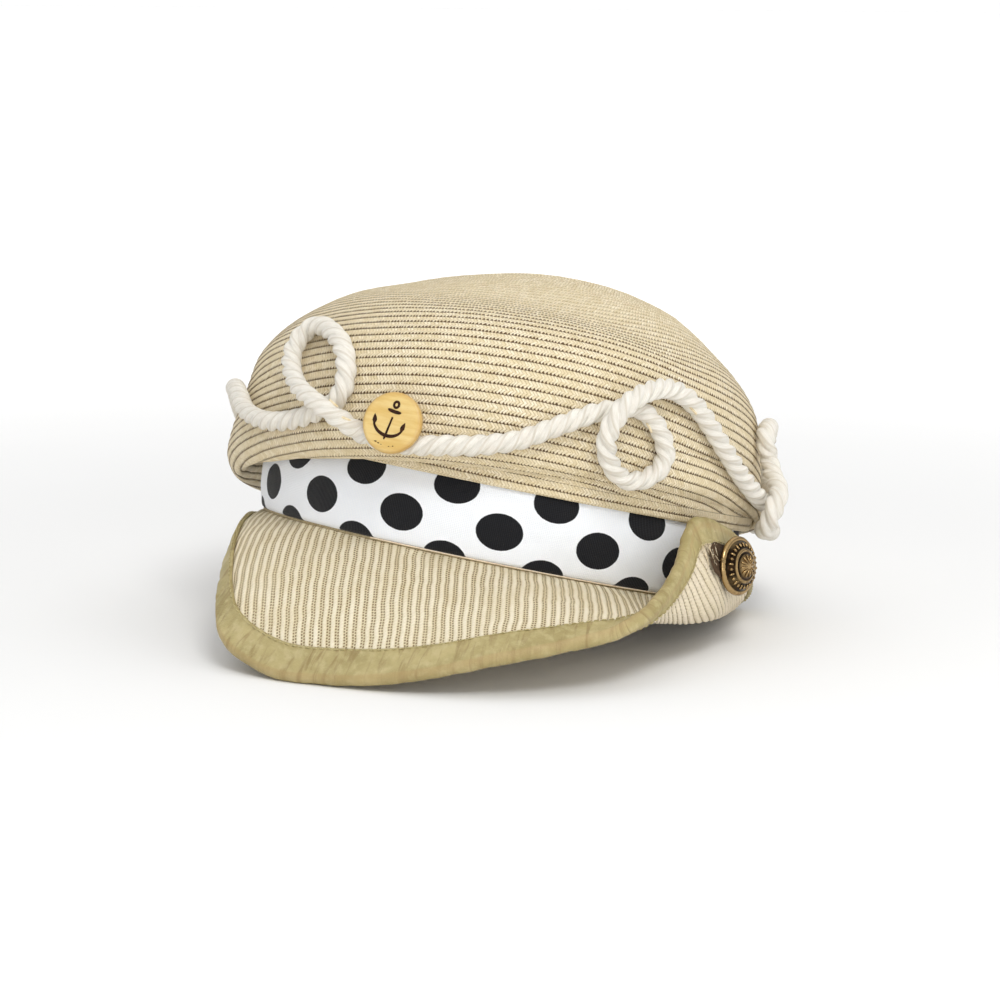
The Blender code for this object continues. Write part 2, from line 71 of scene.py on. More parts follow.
CROWN = [
    # cx    cy     a      b      zf     zr     zb     zl
    (0.0,  0.0,  95.4,  98.4,  28.0,  28.0,  28.0,  28.0),
    (0.0,  0.0,  95.5,  98.5,  31.0,  30.8,  31.5,  31.5),
    (-0.4,  0.0,  96.6,  99.6,  33.4,  33.2,  34.5,  34.5),
    (-0.9,  0.6,  97.3, 101.0,  33.6,  32.2,  15.0,  19.5),
    (-3.2,  1.8, 100.9, 104.8,  35.0,  29.4,   3.0,   9.8),
    (-4.8,  2.6, 104.5, 108.4,  39.0,  32.2,   6.8,  15.0),
    (-5.2,  3.0, 104.5, 109.4,  46.0,  37.2,  17.5,  25.0),
    (-5.4,  1.0, 101.6, 108.0,  56.0,  45.6,  34.0,  42.0),
    (-5.3, -0.8,  98.8, 104.8,  67.0,  58.6,  50.0,  57.0),
    (-4.5, -3.0,  92.5,  98.5,  77.5,  72.0,  66.0,  68.5),
    (-3.0, -5.0,  83.0,  89.0,  86.0,  82.0,  80.0,  79.0),
    (-1.5, -7.0,  70.5,  77.0,  91.0,  91.0,  91.0,  88.5),
    (2.0, -6.0,  54.0,  60.0,  97.0, 100.0, 101.0,  96.5),
    (6.0, -2.0,  38.0,  40.0, 104.0, 105.5, 106.5, 103.5),
    (8.0,  4.0,  18.0,  20.0, 109.2, 109.5, 109.8, 109.0),
    (8.0,  8.0,   0.0,   0.0, 110.4, 110.4, 110.4, 110.4),
]
DENT = dict(x=26.0, y=-66.0, rx=46.0, ry=15.0, depth=2.2)

PEAK = [
    # root   edge x    y      z      mid x    y      z
    (-97.0, -95.5,    2.0,  -9.0,  -94.0,    7.0,  -5.0),
    (-90.0, -95.0,  -12.0, -10.0,  -94.6,   -6.5,  -5.0),
    (-80.0, -96.0,  -40.0, -15.0,  -95.0,  -29.0,  -7.0),
    (-70.0, -96.0,  -61.0, -21.5,  -93.6,  -48.5, -10.0),
    (-60.0, -95.5,  -79.0, -29.0,  -90.4,  -65.5, -13.5),
    (-50.0, -94.0,  -95.0, -38.0,  -85.0,  -81.0, -18.0),
    (-42.0, -90.5, -106.5, -45.5,  -78.5,  -91.5, -21.5),
    (-34.0, -82.0, -115.5, -50.5,  -69.0, -100.5, -24.0),
    (-26.0, -68.0, -125.0, -53.5,  -56.5, -109.0, -25.0),
    (-18.0, -50.0, -134.0, -51.5,  -41.0, -115.5, -23.5),
    (-10.0, -31.0, -142.5, -47.0,  -24.5, -121.0, -21.0),
    (-2.0, -13.0, -148.5, -40.5,   -8.5, -124.0, -17.5),
    (6.0,   5.0, -151.0, -32.5,    7.2, -125.0, -13.5),
    (14.0,  22.0, -150.0, -25.5,   22.5, -123.5, -10.5),
    (22.0,  38.0, -145.0, -18.5,   37.5, -119.0,  -8.5),
    (28.0,  46.6, -140.5, -14.0,   47.0, -115.0,  -7.8),
    (33.5,  55.0, -129.5,  -6.3,   55.5, -111.0,  -8.0),
    (38.5,  59.8, -119.5,   0.8,   61.8, -107.0,  -8.0),
    (43.0,  62.8, -109.5,   8.0,   67.4, -102.5,  -7.2),
    (47.0,  64.5, -101.5,  14.1,   72.0,  -98.0,  -5.8),
    (50.5,  65.3,  -95.5,  19.0,   75.8,  -93.0,  -4.4),
    (54.0,  65.3,  -90.0,  25.2,   79.4,  -87.5,  -2.8),
    (57.5,  66.3,  -86.5,  30.3,   82.4,  -81.5,  -1.2),
    (61.5,  70.5,  -80.5,  32.0,   85.3,  -74.5,   0.2),
    (66.0,  76.0,  -71.5,  31.2,   88.0,  -65.0,   1.4),
    (71.0,  81.8,  -60.0,  29.2,   90.4,  -55.0,   2.4),
    (76.5,  87.8,  -45.5,  25.5,   93.2,  -43.5,   3.2),
    (82.5,  92.8,  -29.0,  19.5,   95.6,  -28.0,   3.2),
    (88.5,  96.2,  -12.0,  13.0,   96.8,  -11.5,   2.0),
    (94.0,  97.0,    2.0,   8.0,   96.4,    3.6,   0.8),
]

# rope route, the same as the CAD rope's: degrees, crown section, lift
ROPE = [
    (-118.0, 6.10, 4.15), (-105.0, 6.62, 4.15), (-93.0, 6.98, 4.15), (-82.0, 6.92, 4.15),
    (-72.7, 6.70, 4.15), (-62.1, 6.20, 4.15), (-52.7, 5.89, 4.15), (-45.4, 5.92, 4.15),
    (-39.9, 6.17, 4.15), (-36.3, 6.42, 4.15), (-34.8, 6.78, 4.15), (-34.9, 7.16, 4.15),
    (-36.1, 7.64, 4.15), (-38.8, 8.08, 4.15), (-43.4, 8.45, 4.15), (-49.0, 8.67, 4.15),
    (-52.4, 8.52, 4.15), (-52.7, 8.11, 4.60), (-51.5, 7.68, 5.40), (-48.3, 7.24, 7.20),
    (-43.1, 6.78, 9.80), (-37.2, 6.46, 12.20), (-33.2, 6.20, 11.80), (-30.5, 5.89, 8.20),
    (-28.3, 5.57, 4.80), (-25.0, 5.36, 4.15), (-17.9, 5.18, 4.15), (-10.2, 5.30, 4.15),
    (-4.7, 5.44, 4.15), (2.7, 5.94, 4.15), (9.9, 6.73, 4.15), (16.8, 7.38, 4.15),
    (22.1, 7.70, 4.15), (26.1, 7.81, 4.15), (29.6, 7.61, 4.15), (32.3, 7.18, 4.15),
    (33.1, 6.44, 4.15), (31.4, 5.58, 4.15), (28.2, 4.97, 4.15), (24.5, 4.90, 4.60),
    (21.3, 5.34, 5.60), (19.5, 6.08, 7.20), (19.0, 6.75, 9.40), (19.7, 7.32, 11.80),
    (22.2, 7.84, 12.20), (27.5, 8.33, 9.60), (34.6, 8.59, 5.20), (40.6, 8.37, 4.15),
    (50.8, 7.32, 4.15), (56.2, 6.47, 4.15), (62.5, 5.76, 4.15), (68.0, 5.50, 4.15),
    (76.0, 6.00, 4.15), (86.0, 6.50, 4.15), (95.0, 7.00, 4.15), (99.5, 7.52, 4.15),
    (97.0, 8.12, 4.15), (89.0, 8.52, 4.15), (80.0, 8.50, 4.15), (72.6, 8.18, 4.15),
    (73.0, 7.60, 5.00), (70.2, 6.94, 7.80), (65.2, 6.02, 11.60), (63.0, 5.30, 12.10),
    (64.5, 4.75, 11.50), (69.0, 4.45, 8.60), (77.0, 4.50, 5.40), (88.0, 4.70, 4.15),
    (102.0, 5.30, 4.15), (118.0, 6.00, 4.15), (134.0, 6.90, 4.15), (148.0, 7.60, 4.15),
    (158.0, 7.80, 4.15), (167.0, 7.45, 4.15), (172.0, 6.75, 4.15), (170.0, 6.10, 4.15),
    (163.0, 5.95, 4.60), (157.0, 6.40, 7.60), (155.5, 7.10, 11.00), (158.0, 7.75, 12.30),
    (165.0, 8.35, 9.00), (174.0, 8.65, 4.80), (184.0, 8.30, 4.15), (194.0, 7.50, 4.15),
    (206.0, 6.60, 4.15), (218.0, 6.20, 4.15), (230.0, 6.30, 4.15),
]

# ---------------------------------------------------------------- frame of the hat
_n = np.array([-REST_B, -REST_C, 1.0]); _n /= np.linalg.norm(_n)
_ex = np.array([_n[2], 0.0, -_n[0]]); _ex /= np.linalg.norm(_ex)
_ey = np.cross(_n, _ex)
REST = np.array([_ex, _ey, _n])


def find_shift():
    """Centre of the band's lower rim in the CAD frame, in mm."""
    me = frame["nodes"]["band"].data
    co = np.empty(len(me.vertices) * 3)
    me.vertices.foreach_get("co", co)
    h = (co.reshape(-1, 3) * 1000.0) @ REST          # turned back, not yet moved
    low = h[h[:, 2] < h[:, 2].min() + 0.05]
    return REST @ ((low.min(0) + low.max(0)) / 2)


SHIFT = find_shift()


def world(p):
    """Hat frame in mm to the CAD frame in metres."""
    return ((np.asarray(p, float) @ REST.T) + SHIFT) * 0.001


def world_dir(d):
    return np.asarray(d, float) @ REST.T


# ---------------------------------------------------------------- shape functions
def smooth_rows(table, t):
    """Catmull-Rom along a table with evenly numbered rows."""
    r = np.array(table, float)
    n = len(r)
    t = np.asarray(t, float)
    i = np.clip(np.floor(t).astype(int), 0, n - 2)
    s = (t - i)[..., None]
    p1, p2 = r[i], r[i + 1]
    m1 = np.where((i > 0)[..., None], (p2 - r[np.maximum(i - 1, 0)]) / 2, p2 - p1)
    m2 = np.where((i + 2 < n)[..., None], (r[np.minimum(i + 2, n - 1)] - p1) / 2, p2 - p1)
    s2, s3 = s * s, s * s * s
    return (2 * s3 - 3 * s2 + 1) * p1 + (s3 - 2 * s2 + s) * m1 + (-2 * s3 + 3 * s2) * p2 + (s3 - s2) * m2


def crown_at(th, v):
    th, v = np.broadcast_arrays(np.asarray(th, float), np.asarray(v, float))
    cx, cy, a, b, zf, zr, zb, zl = np.moveaxis(smooth_rows(CROWN, v), -1, 0)
    s, c = np.sin(th), np.cos(th)
    z = ((zf + zr + zb + zl) / 4 + (zf - zb) / 2 * c + (zr - zl) / 2 * s
         + (zf + zb - zr - zl) / 4 * np.cos(2 * th))
    x, y = cx + a * s, cy - b * c
    d = ((x - DENT["x"]) / DENT["rx"]) ** 2 + ((y - DENT["y"]) / DENT["ry"]) ** 2
    z = z - np.where(v > 7.0, DENT["depth"] * np.exp(-d), 0.0)
    return np.stack([x, y, z], -1)


def crown_normal_at(th, v):
    v = np.asarray(v, float)
    lo, hi = np.maximum(0.0, v - 0.05), np.minimum(len(CROWN) - 1.0, v + 0.05)
    du = crown_at(th + 0.02, v) - crown_at(th - 0.02, v)
    dv = crown_at(th, hi) - crown_at(th, lo)
    n = np.cross(du, dv)
    return n / np.maximum(np.linalg.norm(n, axis=-1, keepdims=True), 1e-9)


def peak_rows(deg):
    """Catmull-Rom over unevenly spaced roots, as in the CAD peak."""
    keys = np.array([r[0] for r in PEAK])
    rows = np.array([r[1:] for r in PEAK])
    deg = np.clip(np.asarray(deg, float), keys[0], keys[-1])
    n = len(keys)
    i = np.clip(np.searchsorted(keys, deg, side="right") - 1, 0, n - 2)
    h = (keys[i + 1] - keys[i])
    s = ((deg - keys[i]) / h)[..., None]
    h = h[..., None]
    p1, p2 = rows[i], rows[i + 1]
    im, ip = np.maximum(i - 1, 0), np.minimum(i + 2, n - 1)
    m1 = np.where((i > 0)[..., None], (p2 - rows[im]) / np.maximum(keys[i + 1] - keys[im], 1e-9)[..., None], (p2 - p1) / h)
    m2 = np.where((i + 2 < n)[..., None], (rows[ip] - p1) / np.maximum(keys[ip] - keys[i], 1e-9)[..., None], (p2 - p1) / h)
    s2, s3 = s * s, s * s * s
    return (2 * s3 - 3 * s2 + 1) * p1 + (s3 - 2 * s2 + s) * h * m1 + (-2 * s3 + 3 * s2) * p2 + (s3 - s2) * h * m2


def rim_at(th, r, z):
    s, c = np.sin(th), np.cos(th)
    return np.stack([(HEAD_A + r) * s, -(HEAD_B + r) * c, np.broadcast_to(z, s.shape) + 0.0 * s], -1)


def peak_at(deg, v):
    deg, v = np.broadcast_arrays(np.asarray(deg, float), np.asarray(v, float))
    k = peak_rows(deg)
    edge, mid = k[..., 0:3], k[..., 3:6]
    root = rim_at(np.radians(deg), 2.8, -0.4 - PEAK_T / 2)
    ctrl = mid * 2 - (root + edge) / 2
    v = v[..., None]
    return root * (1 - v) ** 2 + ctrl * (2 * v * (1 - v)) + edge * (v * v)


def peak_normal_at(deg, v):
    deg, v = np.broadcast_arrays(np.asarray(deg, float), np.asarray(v, float))
    d0, d1 = np.maximum(PEAK[0][0], deg - 0.8), np.minimum(PEAK[-1][0], deg + 0.8)
    v0, v1 = np.maximum(0.0, v - 0.02), np.minimum(1.0, v + 0.02)
    du = peak_at(d1, v) - peak_at(d0, v)
    dv = peak_at(deg, v1) - peak_at(deg, v0)
    n = -np.cross(du, dv)
    return n / np.maximum(np.linalg.norm(n, axis=-1, keepdims=True), 1e-9)


def peak_length_at(deg):
    t = np.linspace(0, 1, 13)
    p = peak_at(np.asarray(deg)[..., None], t)
    return np.linalg.norm(np.diff(p, axis=-2), axis=-1).sum(-1)


def wobble(p, scale, seed):
    """Smooth seeded noise in -1..1 from a few waves."""
    rng = np.random.default_rng(seed)
    out = np.zeros(p.shape[:-1])
    for k in range(7):
        d = rng.normal(size=3)
        d *= (1.0 + 0.9 * k / 3) / (scale * np.linalg.norm(d))
        out += np.sin(p @ d * 2 * math.pi + rng.uniform(0, 6.28)) / (1.0 + 0.45 * k)
    return out / 2.6


# ---------------------------------------------------------------- mesh helpers
def build(name, verts, quads, loop_uv, mat, node=None, smooth=True, merge=0.0, in_hat=True):
    """verts in hat mm, quads as index rows (3 or 4 per row), loop_uv per corner."""
    me = bpy.data.meshes.new(name)
    pts = world(verts) if in_hat else np.asarray(verts, float)
    quads = [np.asarray(q, dtype=np.int64) for q in (quads if isinstance(quads, (list, tuple)) else [quads])]
    counts = [q.shape[1] for q in quads for _ in range(q.shape[0])]
    loops = np.concatenate([q.reshape(-1) for q in quads])
    me.vertices.add(len(pts))
    me.vertices.foreach_set("co", pts.reshape(-1))
    me.loops.add(len(loops))
    me.loops.foreach_set("vertex_index", loops)
    me.polygons.add(len(counts))
    starts = np.concatenate([[0], np.cumsum(counts)[:-1]])
    me.polygons.foreach_set("loop_start", starts)
    me.polygons.foreach_set("loop_total", counts)
    me.polygons.foreach_set("use_smooth", np.full(len(counts), smooth))
    if loop_uv is not None:
        layer = me.uv_layers.new(name="UVMap")
        layer.data.foreach_set("uv", np.asarray(loop_uv, float).reshape(-1))
    me.update(calc_edges=True)
    me.validate()
    if merge > 0:
        bm = bmesh.new()
        bm.from_mesh(me)
        bmesh.ops.remove_doubles(bm, verts=bm.verts, dist=merge)
        bmesh.ops.dissolve_degenerate(bm, dist=merge, edges=bm.edges)
        bm.to_mesh(me)
        bm.free()
        for p in me.polygons:
            p.use_smooth = smooth
    ob = bpy.data.objects.new(name, me)
    bpy.context.scene.collection.objects.link(ob)
    me.materials.append(mat)
    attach(ob, "root")
    if node:
        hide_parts(node)
    return ob


def grid_quads(nr, nc, flip=False, wrap_r=False, wrap_c=False):
    """Quads of an nr x nc grid stored row by row, with (row, col) of each corner."""
    r = np.arange(nr if wrap_r else nr - 1)
    c = np.arange(nc if wrap_c else nc - 1)
    R, C = np.meshgrid(r, c, indexing="ij")
    R, C = R.ravel(), C.ravel()
    corners = [(R, C), (R, C + 1), (R + 1, C + 1), (R + 1, C)]
    if flip:
        corners = corners[::-1]
    idx = np.stack([(a % nr) * nc + (b % nc) for a, b in corners], -1)
    rc = np.stack([np.stack([a, b], -1) for a, b in corners], 1)
    return idx, rc


def tube(path, radius, sides, closed=False, frames=None, taper=None, cap=True):
    """Round tube along a path in hat mm; returns verts, quads, tris, loop uv (along, round)."""
    p = np.asarray(path, float)
    n = len(p)
    if closed:
        t = np.roll(p, -1, 0) - np.roll(p, 1, 0)
    else:
        t = np.gradient(p, axis=0)
    t /= np.maximum(np.linalg.norm(t, axis=1, keepdims=True), 1e-9)
    ref = np.array([0.3, 0.2, 1.0])
    us = np.zeros_like(p)
    ref = ref - t[0] * (ref @ t[0])
    for i in range(n):
        ref = ref - t[i] * (ref @ t[i])
        ref /= np.linalg.norm(ref)
        us[i] = ref
    ws = np.cross(t, us)
    a = np.linspace(0, 2 * math.pi, sides, endpoint=False)
    rad = np.full(n, radius, float) if np.isscalar(radius) else np.asarray(radius, float)
    v = p[:, None] + rad[:, None, None] * (us[:, None] * np.cos(a)[None, :, None] + ws[:, None] * np.sin(a)[None, :, None])
    verts = v.reshape(-1, 3)
    quads, rc = grid_quads(n, sides, wrap_r=closed, wrap_c=True, flip=False)
    length = np.concatenate([[0], np.cumsum(np.linalg.norm(np.diff(p, axis=0), axis=1))])
    if closed:
        length = np.append(length, length[-1] + np.linalg.norm(p[0] - p[-1]))
    uv = np.stack([length[rc[..., 0]], rc[..., 1] / sides], -1)
    tris = None
    if cap and not closed:
        verts = np.vstack([verts, p[0], p[-1]])
        k = np.arange(sides)
        k2 = (k + 1) % sides
        tris = np.concatenate([np.stack([k2, k, np.full(sides, n * sides)], -1),
                               np.stack([(n - 1) * sides + k, (n - 1) * sides + k2, np.full(sides, n * sides + 1)], -1)])
    return verts, quads, tris, uv


class Parts:
    """Collects many small solids into one mesh."""

    def __init__(self):
        self.v, self.q, self.t, self.uq, self.ut, self.n = [], [], [], [], [], 0

    def add(self, verts, quads=None, tris=None, uv=None):
        verts = np.asarray(verts, float)
        if quads is not None and len(quads):
            self.q.append(np.asarray(quads) + self.n)
            self.uq.append(uv.reshape(-1, 2) if uv is not None else np.zeros((len(quads) * 4, 2)))
        if tris is not None and len(tris):
            self.t.append(np.asarray(tris) + self.n)
            self.ut.append(np.zeros((len(tris) * 3, 2)))
        self.v.append(verts)
        self.n += len(verts)

    def make(self, name, mat, node=None, smooth=True):
        faces, uv = [], []
        if self.q:
            faces.append(np.concatenate(self.q)); uv.append(np.concatenate(self.uq))
        if self.t:
            faces.append(np.concatenate(self.t)); uv.append(np.concatenate(self.ut))
        return build(name, np.vstack(self.v), faces, np.concatenate(uv), mat, node, smooth)


# ---------------------------------------------------------------- node helpers
def rgb(r, g, b):
    def f(c):
        c /= 255.0
        return c / 12.92 if c <= 0.04045 else ((c + 0.055) / 1.055) ** 2.4
    return (f(r), f(g), f(b), 1.0)


class Mat:
    def __init__(self, name, rough=0.7, metal=0.0, spec=0.4, sheen=0.0, sheen_rough=0.5, coat=0.0):
        self.m = bpy.data.materials.new(name)
        self.m.use_nodes = True
        self.t = self.m.node_tree
        self.b = self.t.nodes["Principled BSDF"]
        self.b.inputs["Roughness"].default_value = rough
        self.b.inputs["Metallic"].default_value = metal
        self.b.inputs["Specular IOR Level"].default_value = spec
        self.b.inputs["Sheen Weight"].default_value = sheen
        self.b.inputs["Sheen Roughness"].default_value = sheen_rough
        self.b.inputs["Coat Weight"].default_value = coat

    def node(self, kind, **props):
        n = self.t.nodes.new(kind)
        for k, v in props.items():
            setattr(n, k, v)
        return n

    def put(self, sock, val):
        if hasattr(val, "is_output") or isinstance(val, bpy.types.NodeSocket):
            self.t.links.new(val, sock)
        else:
            sock.default_value = val

    def math(self, op, a, b=0.0, c=0.0, clamp=False):
        n = self.node("ShaderNodeMath", operation=op, use_clamp=clamp)
        self.put(n.inputs[0], a)
        self.put(n.inputs[1], b)
        self.put(n.inputs[2], c)
        return n.outputs[0]

    def step(self, x, lo, hi, a=0.0, b=1.0):
        n = self.node("ShaderNodeMapRange", interpolation_type="SMOOTHSTEP")
        self.put(n.inputs["Value"], x)
        n.inputs["From Min"].default_value = lo
        n.inputs["From Max"].default_value = hi
        n.inputs["To Min"].default_value = a
        n.inputs["To Max"].default_value = b
        return n.outputs["Result"]

    def mix(self, fac, a, b, mode="MIX"):
        n = self.node("ShaderNodeMix", data_type="RGBA", blend_type=mode)
        self.put(n.inputs["Factor"], fac)
        self.put(n.inputs[6], a)
        self.put(n.inputs[7], b)
        return n.outputs[2]

    def uv(self):
        n = self.node("ShaderNodeUVMap", uv_map="UVMap")
        s = self.node("ShaderNodeSeparateXYZ")
        self.t.links.new(n.outputs[0], s.inputs[0])
        return s.outputs[0], s.outputs[1]

    def vec(self, x, y, z=0.0):
        n = self.node("ShaderNodeCombineXYZ")
        self.put(n.inputs[0], x)
        self.put(n.inputs[1], y)
        self.put(n.inputs[2], z)
        return n.outputs[0]

    def noise(self, scale, detail=3.0, rough=0.5, vec=None, dist=0.0):
        n = self.node("ShaderNodeTexNoise")
        if vec is None:
            tc = self.node("ShaderNodeTexCoord")
            vec = tc.outputs["Object"]
        self.t.links.new(vec, n.inputs["Vector"])
        n.inputs["Scale"].default_value = scale
        n.inputs["Detail"].default_value = detail
        n.inputs["Roughness"].default_value = rough
        n.inputs["Distortion"].default_value = dist
        return n.outputs["Fac"]

    def voronoi(self, scale, vec=None, feature="F1"):
        n = self.node("ShaderNodeTexVoronoi", feature=feature)
        if vec is None:
            tc = self.node("ShaderNodeTexCoord")
            vec = tc.outputs["Object"]
        self.t.links.new(vec, n.inputs["Vector"])
        n.inputs["Scale"].default_value = scale
        return n.outputs["Distance"]

    def white(self, vec):
        n = self.node("ShaderNodeTexWhiteNoise", noise_dimensions="2D")
        self.t.links.new(vec, n.inputs["Vector"])
        return n.outputs["Value"]

    def colour(self, c):
        self.put(self.b.inputs["Base Color"], c)

    def rough(self, r):
        self.put(self.b.inputs["Roughness"], r)

    def bump(self, height, dist, strength=1.0, normal=None):
        n = self.node("ShaderNodeBump")
        self.t.links.new(height, n.inputs["Height"])
        n.inputs["Distance"].default_value = dist
        n.inputs["Strength"].default_value = strength
        if normal is not None:
            self.t.links.new(normal, n.inputs["Normal"])
        self.t.links.new(n.outputs[0], self.b.inputs["Normal"])
        return n.outputs[0]


def braid_material(name, light, mid, dark, fleck_and_shade_colour):
    """Sewn braid: u along the row in mm, v = row number, whole at the row's upper edge."""
    m = Mat(name, rough=0.68, spec=0.26)
    u, v = m.uv()
    f = m.math("FRACT", v)
    row = m.math("FLOOR", v)
    lane = m.math("ABSOLUTE", m.math("SUBTRACT", f, 0.5))
    un = m.math("DIVIDE", u, PLAIT)
    un = m.math("ADD", un, m.math("MULTIPLY", m.noise(1.0, 2.0, 0.5, m.vec(m.math("MULTIPLY", u, 0.16), m.math("MULTIPLY", row, 3.7), 0.0)), 1.6))
    # straws cross in two lanes; each lies at a slant
    phase = m.math("ADD", un, m.math("MULTIPLY", lane, 2.3))
    stripe = m.math("ADD", m.math("MULTIPLY", m.math("SINE", m.math("MULTIPLY", phase, 2 * math.pi)), 0.5), 0.5)
    side = m.math("GREATER_THAN", f, 0.5)
    cell = m.white(m.vec(m.math("FLOOR", phase), m.math("ADD", m.math("MULTIPLY", row, 2.0), side)))
    grain = m.noise(1.0, 4.0, 0.7, m.vec(m.math("MULTIPLY", phase, 2.2), m.math("MULTIPLY", v, 7.0), 0.0))
    speck = m.noise(1.0, 2.0, 0.6, m.vec(m.math("MULTIPLY", u, 1.9), m.math("MULTIPLY", v, 6.5), 4.0))
    col = m.mix(m.math("MULTIPLY", cell, 0.9), light, mid)
    col = m.mix(m.math("MULTIPLY", m.step(stripe, 0.0, 0.46, 1.0, 0.0), 0.62), col, dark)
    col = m.mix(m.math("MULTIPLY", m.step(grain, 0.5, 0.72), 0.5), col, dark)
    calm = m.step(v, 22.0, 37.0, 0.16, 0.92)
    col = m.mix(m.math("MULTIPLY", m.step(speck, 0.60, 0.71), m.math("MULTIPLY", calm, 0.72)), col, fleck_and_shade_colour)
    # lower edge of the row: straw teeth with small dark gaps between them, painted shade standing for the shadow under
    # the proud edge
    tooth = m.math("ABSOLUTE", m.math("SUBTRACT", m.math("FRACT", un), 0.5))
    irr = m.math("MULTIPLY", m.white(m.vec(m.math("FLOOR", un), row)), 0.10)
    edge = m.math("ADD", m.math("SUBTRACT", f, m.math("SUBTRACT", 1.10, m.math("MULTIPLY", tooth, 0.62))), irr)
    gap = m.step(edge, -0.02, 0.05)
    # painted shadow along the row's upper edge, where the row above overhangs it
    up = m.math("SUBTRACT", m.math("SUBTRACT", 0.11, m.math("MULTIPLY", m.math("SUBTRACT", 0.5, tooth), 0.16)), f)
    gap = m.math("MAXIMUM", gap, m.step(up, 0.0, 0.05, 0.0, 0.85))
    tone = m.noise(46.0, 4.0, 0.6)
    col = m.mix(m.step(tone, 0.30, 0.72, 0.0, 0.4), col, mid)
    # the gap and shadow masks take the dark fleck-and-shade colour: painted shade
    col = m.mix(m.math("MULTIPLY", gap, calm), col, fleck_and_shade_colour)
    m.colour(col)
    h = m.math("ADD", m.math("MULTIPLY", stripe, 0.7), m.math("MULTIPLY", grain, 0.6))
    h = m.math("SUBTRACT", h, m.math("MULTIPLY", gap, 1.5))
    m.bump(h, 0.00026, 0.9)
    return m.m


def jersey_material():
    """White knit with black oval dots. u = mm round from the front, v = height in mm."""
    m = Mat("white_jersey_knit", rough=0.85, spec=0.2, sheen=0.15)
    u, v = m.uv()

    def lattice(off, z0, dz):
        a = m.math("SUBTRACT", m.math("FRACT", m.math("ADD", m.math("DIVIDE", u, 37.8), off)), 0.5)
        a = m.math("MULTIPLY", a, 37.8 / 8.75)
        b = m.math("SUBTRACT", m.math("FRACT", m.math("ADD", m.math("DIVIDE", m.math("SUBTRACT", v, z0), dz), 0.5)), 0.5)
        b = m.math("MULTIPLY", b, dz / 6.75)
        return m.math("ADD", m.math("MULTIPLY", a, a), m.math("MULTIPLY", b, b))

    d = m.math("MINIMUM", lattice(0.5, 11.5, 27.4), lattice(0.0, 25.2, 27.4))
    edge = m.noise(900.0, 2.0, 0.5)
    d = m.math("ADD", d, m.math("MULTIPLY", m.math("SUBTRACT", edge, 0.5), 0.06))
    dot = m.step(d, 0.965, 1.035, 1.0, 0.0)
    wale = m.math("SINE", m.math("MULTIPLY", u, 2 * math.pi / 0.72))
    course = m.math("SINE", m.math("ADD", m.math("MULTIPLY", v, 2 * math.pi / 0.62), m.math("MULTIPLY", m.math("ABSOLUTE", wale), 2.2)))
    h = m.math("ADD", m.math("MULTIPLY", wale, 0.6), m.math("MULTIPLY", course, 0.4))
    white = m.mix(m.step(h, -0.8, 0.2, 1.0, 0.0), rgb(250, 252, 255), rgb(240, 245, 254))
    tone = m.noise(30.0, 2.0, 0.5)
    white = m.mix(m.step(tone, 0.35, 0.7, 0.0, 0.25), white, rgb(236, 240, 248))
    black = m.mix(m.step(h, -0.5, 0.6), rgb(14, 15, 18), rgb(30, 31, 36))
    m.colour(m.mix(dot, white, black))
    m.bump(h, 0.00009, 0.7)
    return m.m


def rib_material(name, pitch, under=False):
    """Corded straw: u across the cords in mm, v along them in mm."""
    m = Mat(name, rough=0.7, spec=0.24)
    u, v = m.uv()
    n = m.math("DIVIDE", u, pitch)
    f = m.math("FRACT", n)
    idx = m.math("FLOOR", n)
    c = m.math("ABSOLUTE", m.math("SUBTRACT", f, 0.5))          # 0 on the cord, 0.5 in the valley
    half = 0.40 if under else 0.20
    cord = m.step(c, half - 0.05, half + 0.06, 1.0, 0.0)
    # net between the cords: two columns of small meshes
    a = m.math("FRACT", m.math("ADD", m.math("DIVIDE", v, 1.35), m.math("MULTIPLY", m.white(m.vec(idx, 3.0)), 1.0)))
    hole = m.math("MULTIPLY", m.step(m.math("ABSOLUTE", m.math("SUBTRACT", a, 0.5)), 0.20, 0.38, 1.0, 0.0),
                  m.step(m.math("ABSOLUTE", m.math("SUBTRACT", c, 0.36)), 0.05, 0.12, 1.0, 0.0))
    tone = m.noise(1.0, 3.0, 0.6, m.vec(m.math("MULTIPLY", idx, 3.7), m.math("MULTIPLY", v, 0.06), 0.0))
    cloud = m.noise(60.0, 4.0, 0.6)
    fine = m.noise(1.0, 4.0, 0.75, m.vec(m.math("MULTIPLY", u, 2.6), m.math("MULTIPLY", v, 1.3), 0.0))
    light = rgb(240, 230, 206) if not under else rgb(234, 221, 198)
    col = m.mix(m.step(tone, 0.35, 0.75, 0.0, 0.6), light, rgb(230, 217, 186))
    net = m.mix(m.step(tone, 0.3, 0.7), rgb(234, 222, 190), rgb(220, 205, 168))
    net = m.mix(m.math("MULTIPLY", hole, 0.85), net, rgb(112, 84, 48))
    if under:
        # valleys between the wide cords of the lower face are darkened: painted shade
        net = m.mix(m.step(c, 0.40, 0.5, 0.0, 0.7), net, rgb(112, 92, 62))
    col = m.mix(cord, net, col)
    col = m.mix(m.step(fine, 0.5, 0.78, 0.0, 0.5), col, rgb(182, 162, 122))
    col = m.mix(m.step(cloud, 0.4, 0.75, 0.0, 0.3), col, rgb(212, 196, 158))
    m.colour(col)
    h = m.math("ADD", m.math("MULTIPLY", cord, 0.4), m.math("MULTIPLY", fine, 0.7))
    h = m.math("SUBTRACT", h, m.math("MULTIPLY", hole, 0.9))
    twist = m.math("SINE", m.math("ADD", m.math("MULTIPLY", v, 2 * math.pi / 1.6), m.math("MULTIPLY", f, 7.0)))
    h = m.math("ADD", h, m.math("MULTIPLY", twist, 0.28))
    m.bump(h, 0.00026, 0.9)
    return m.m


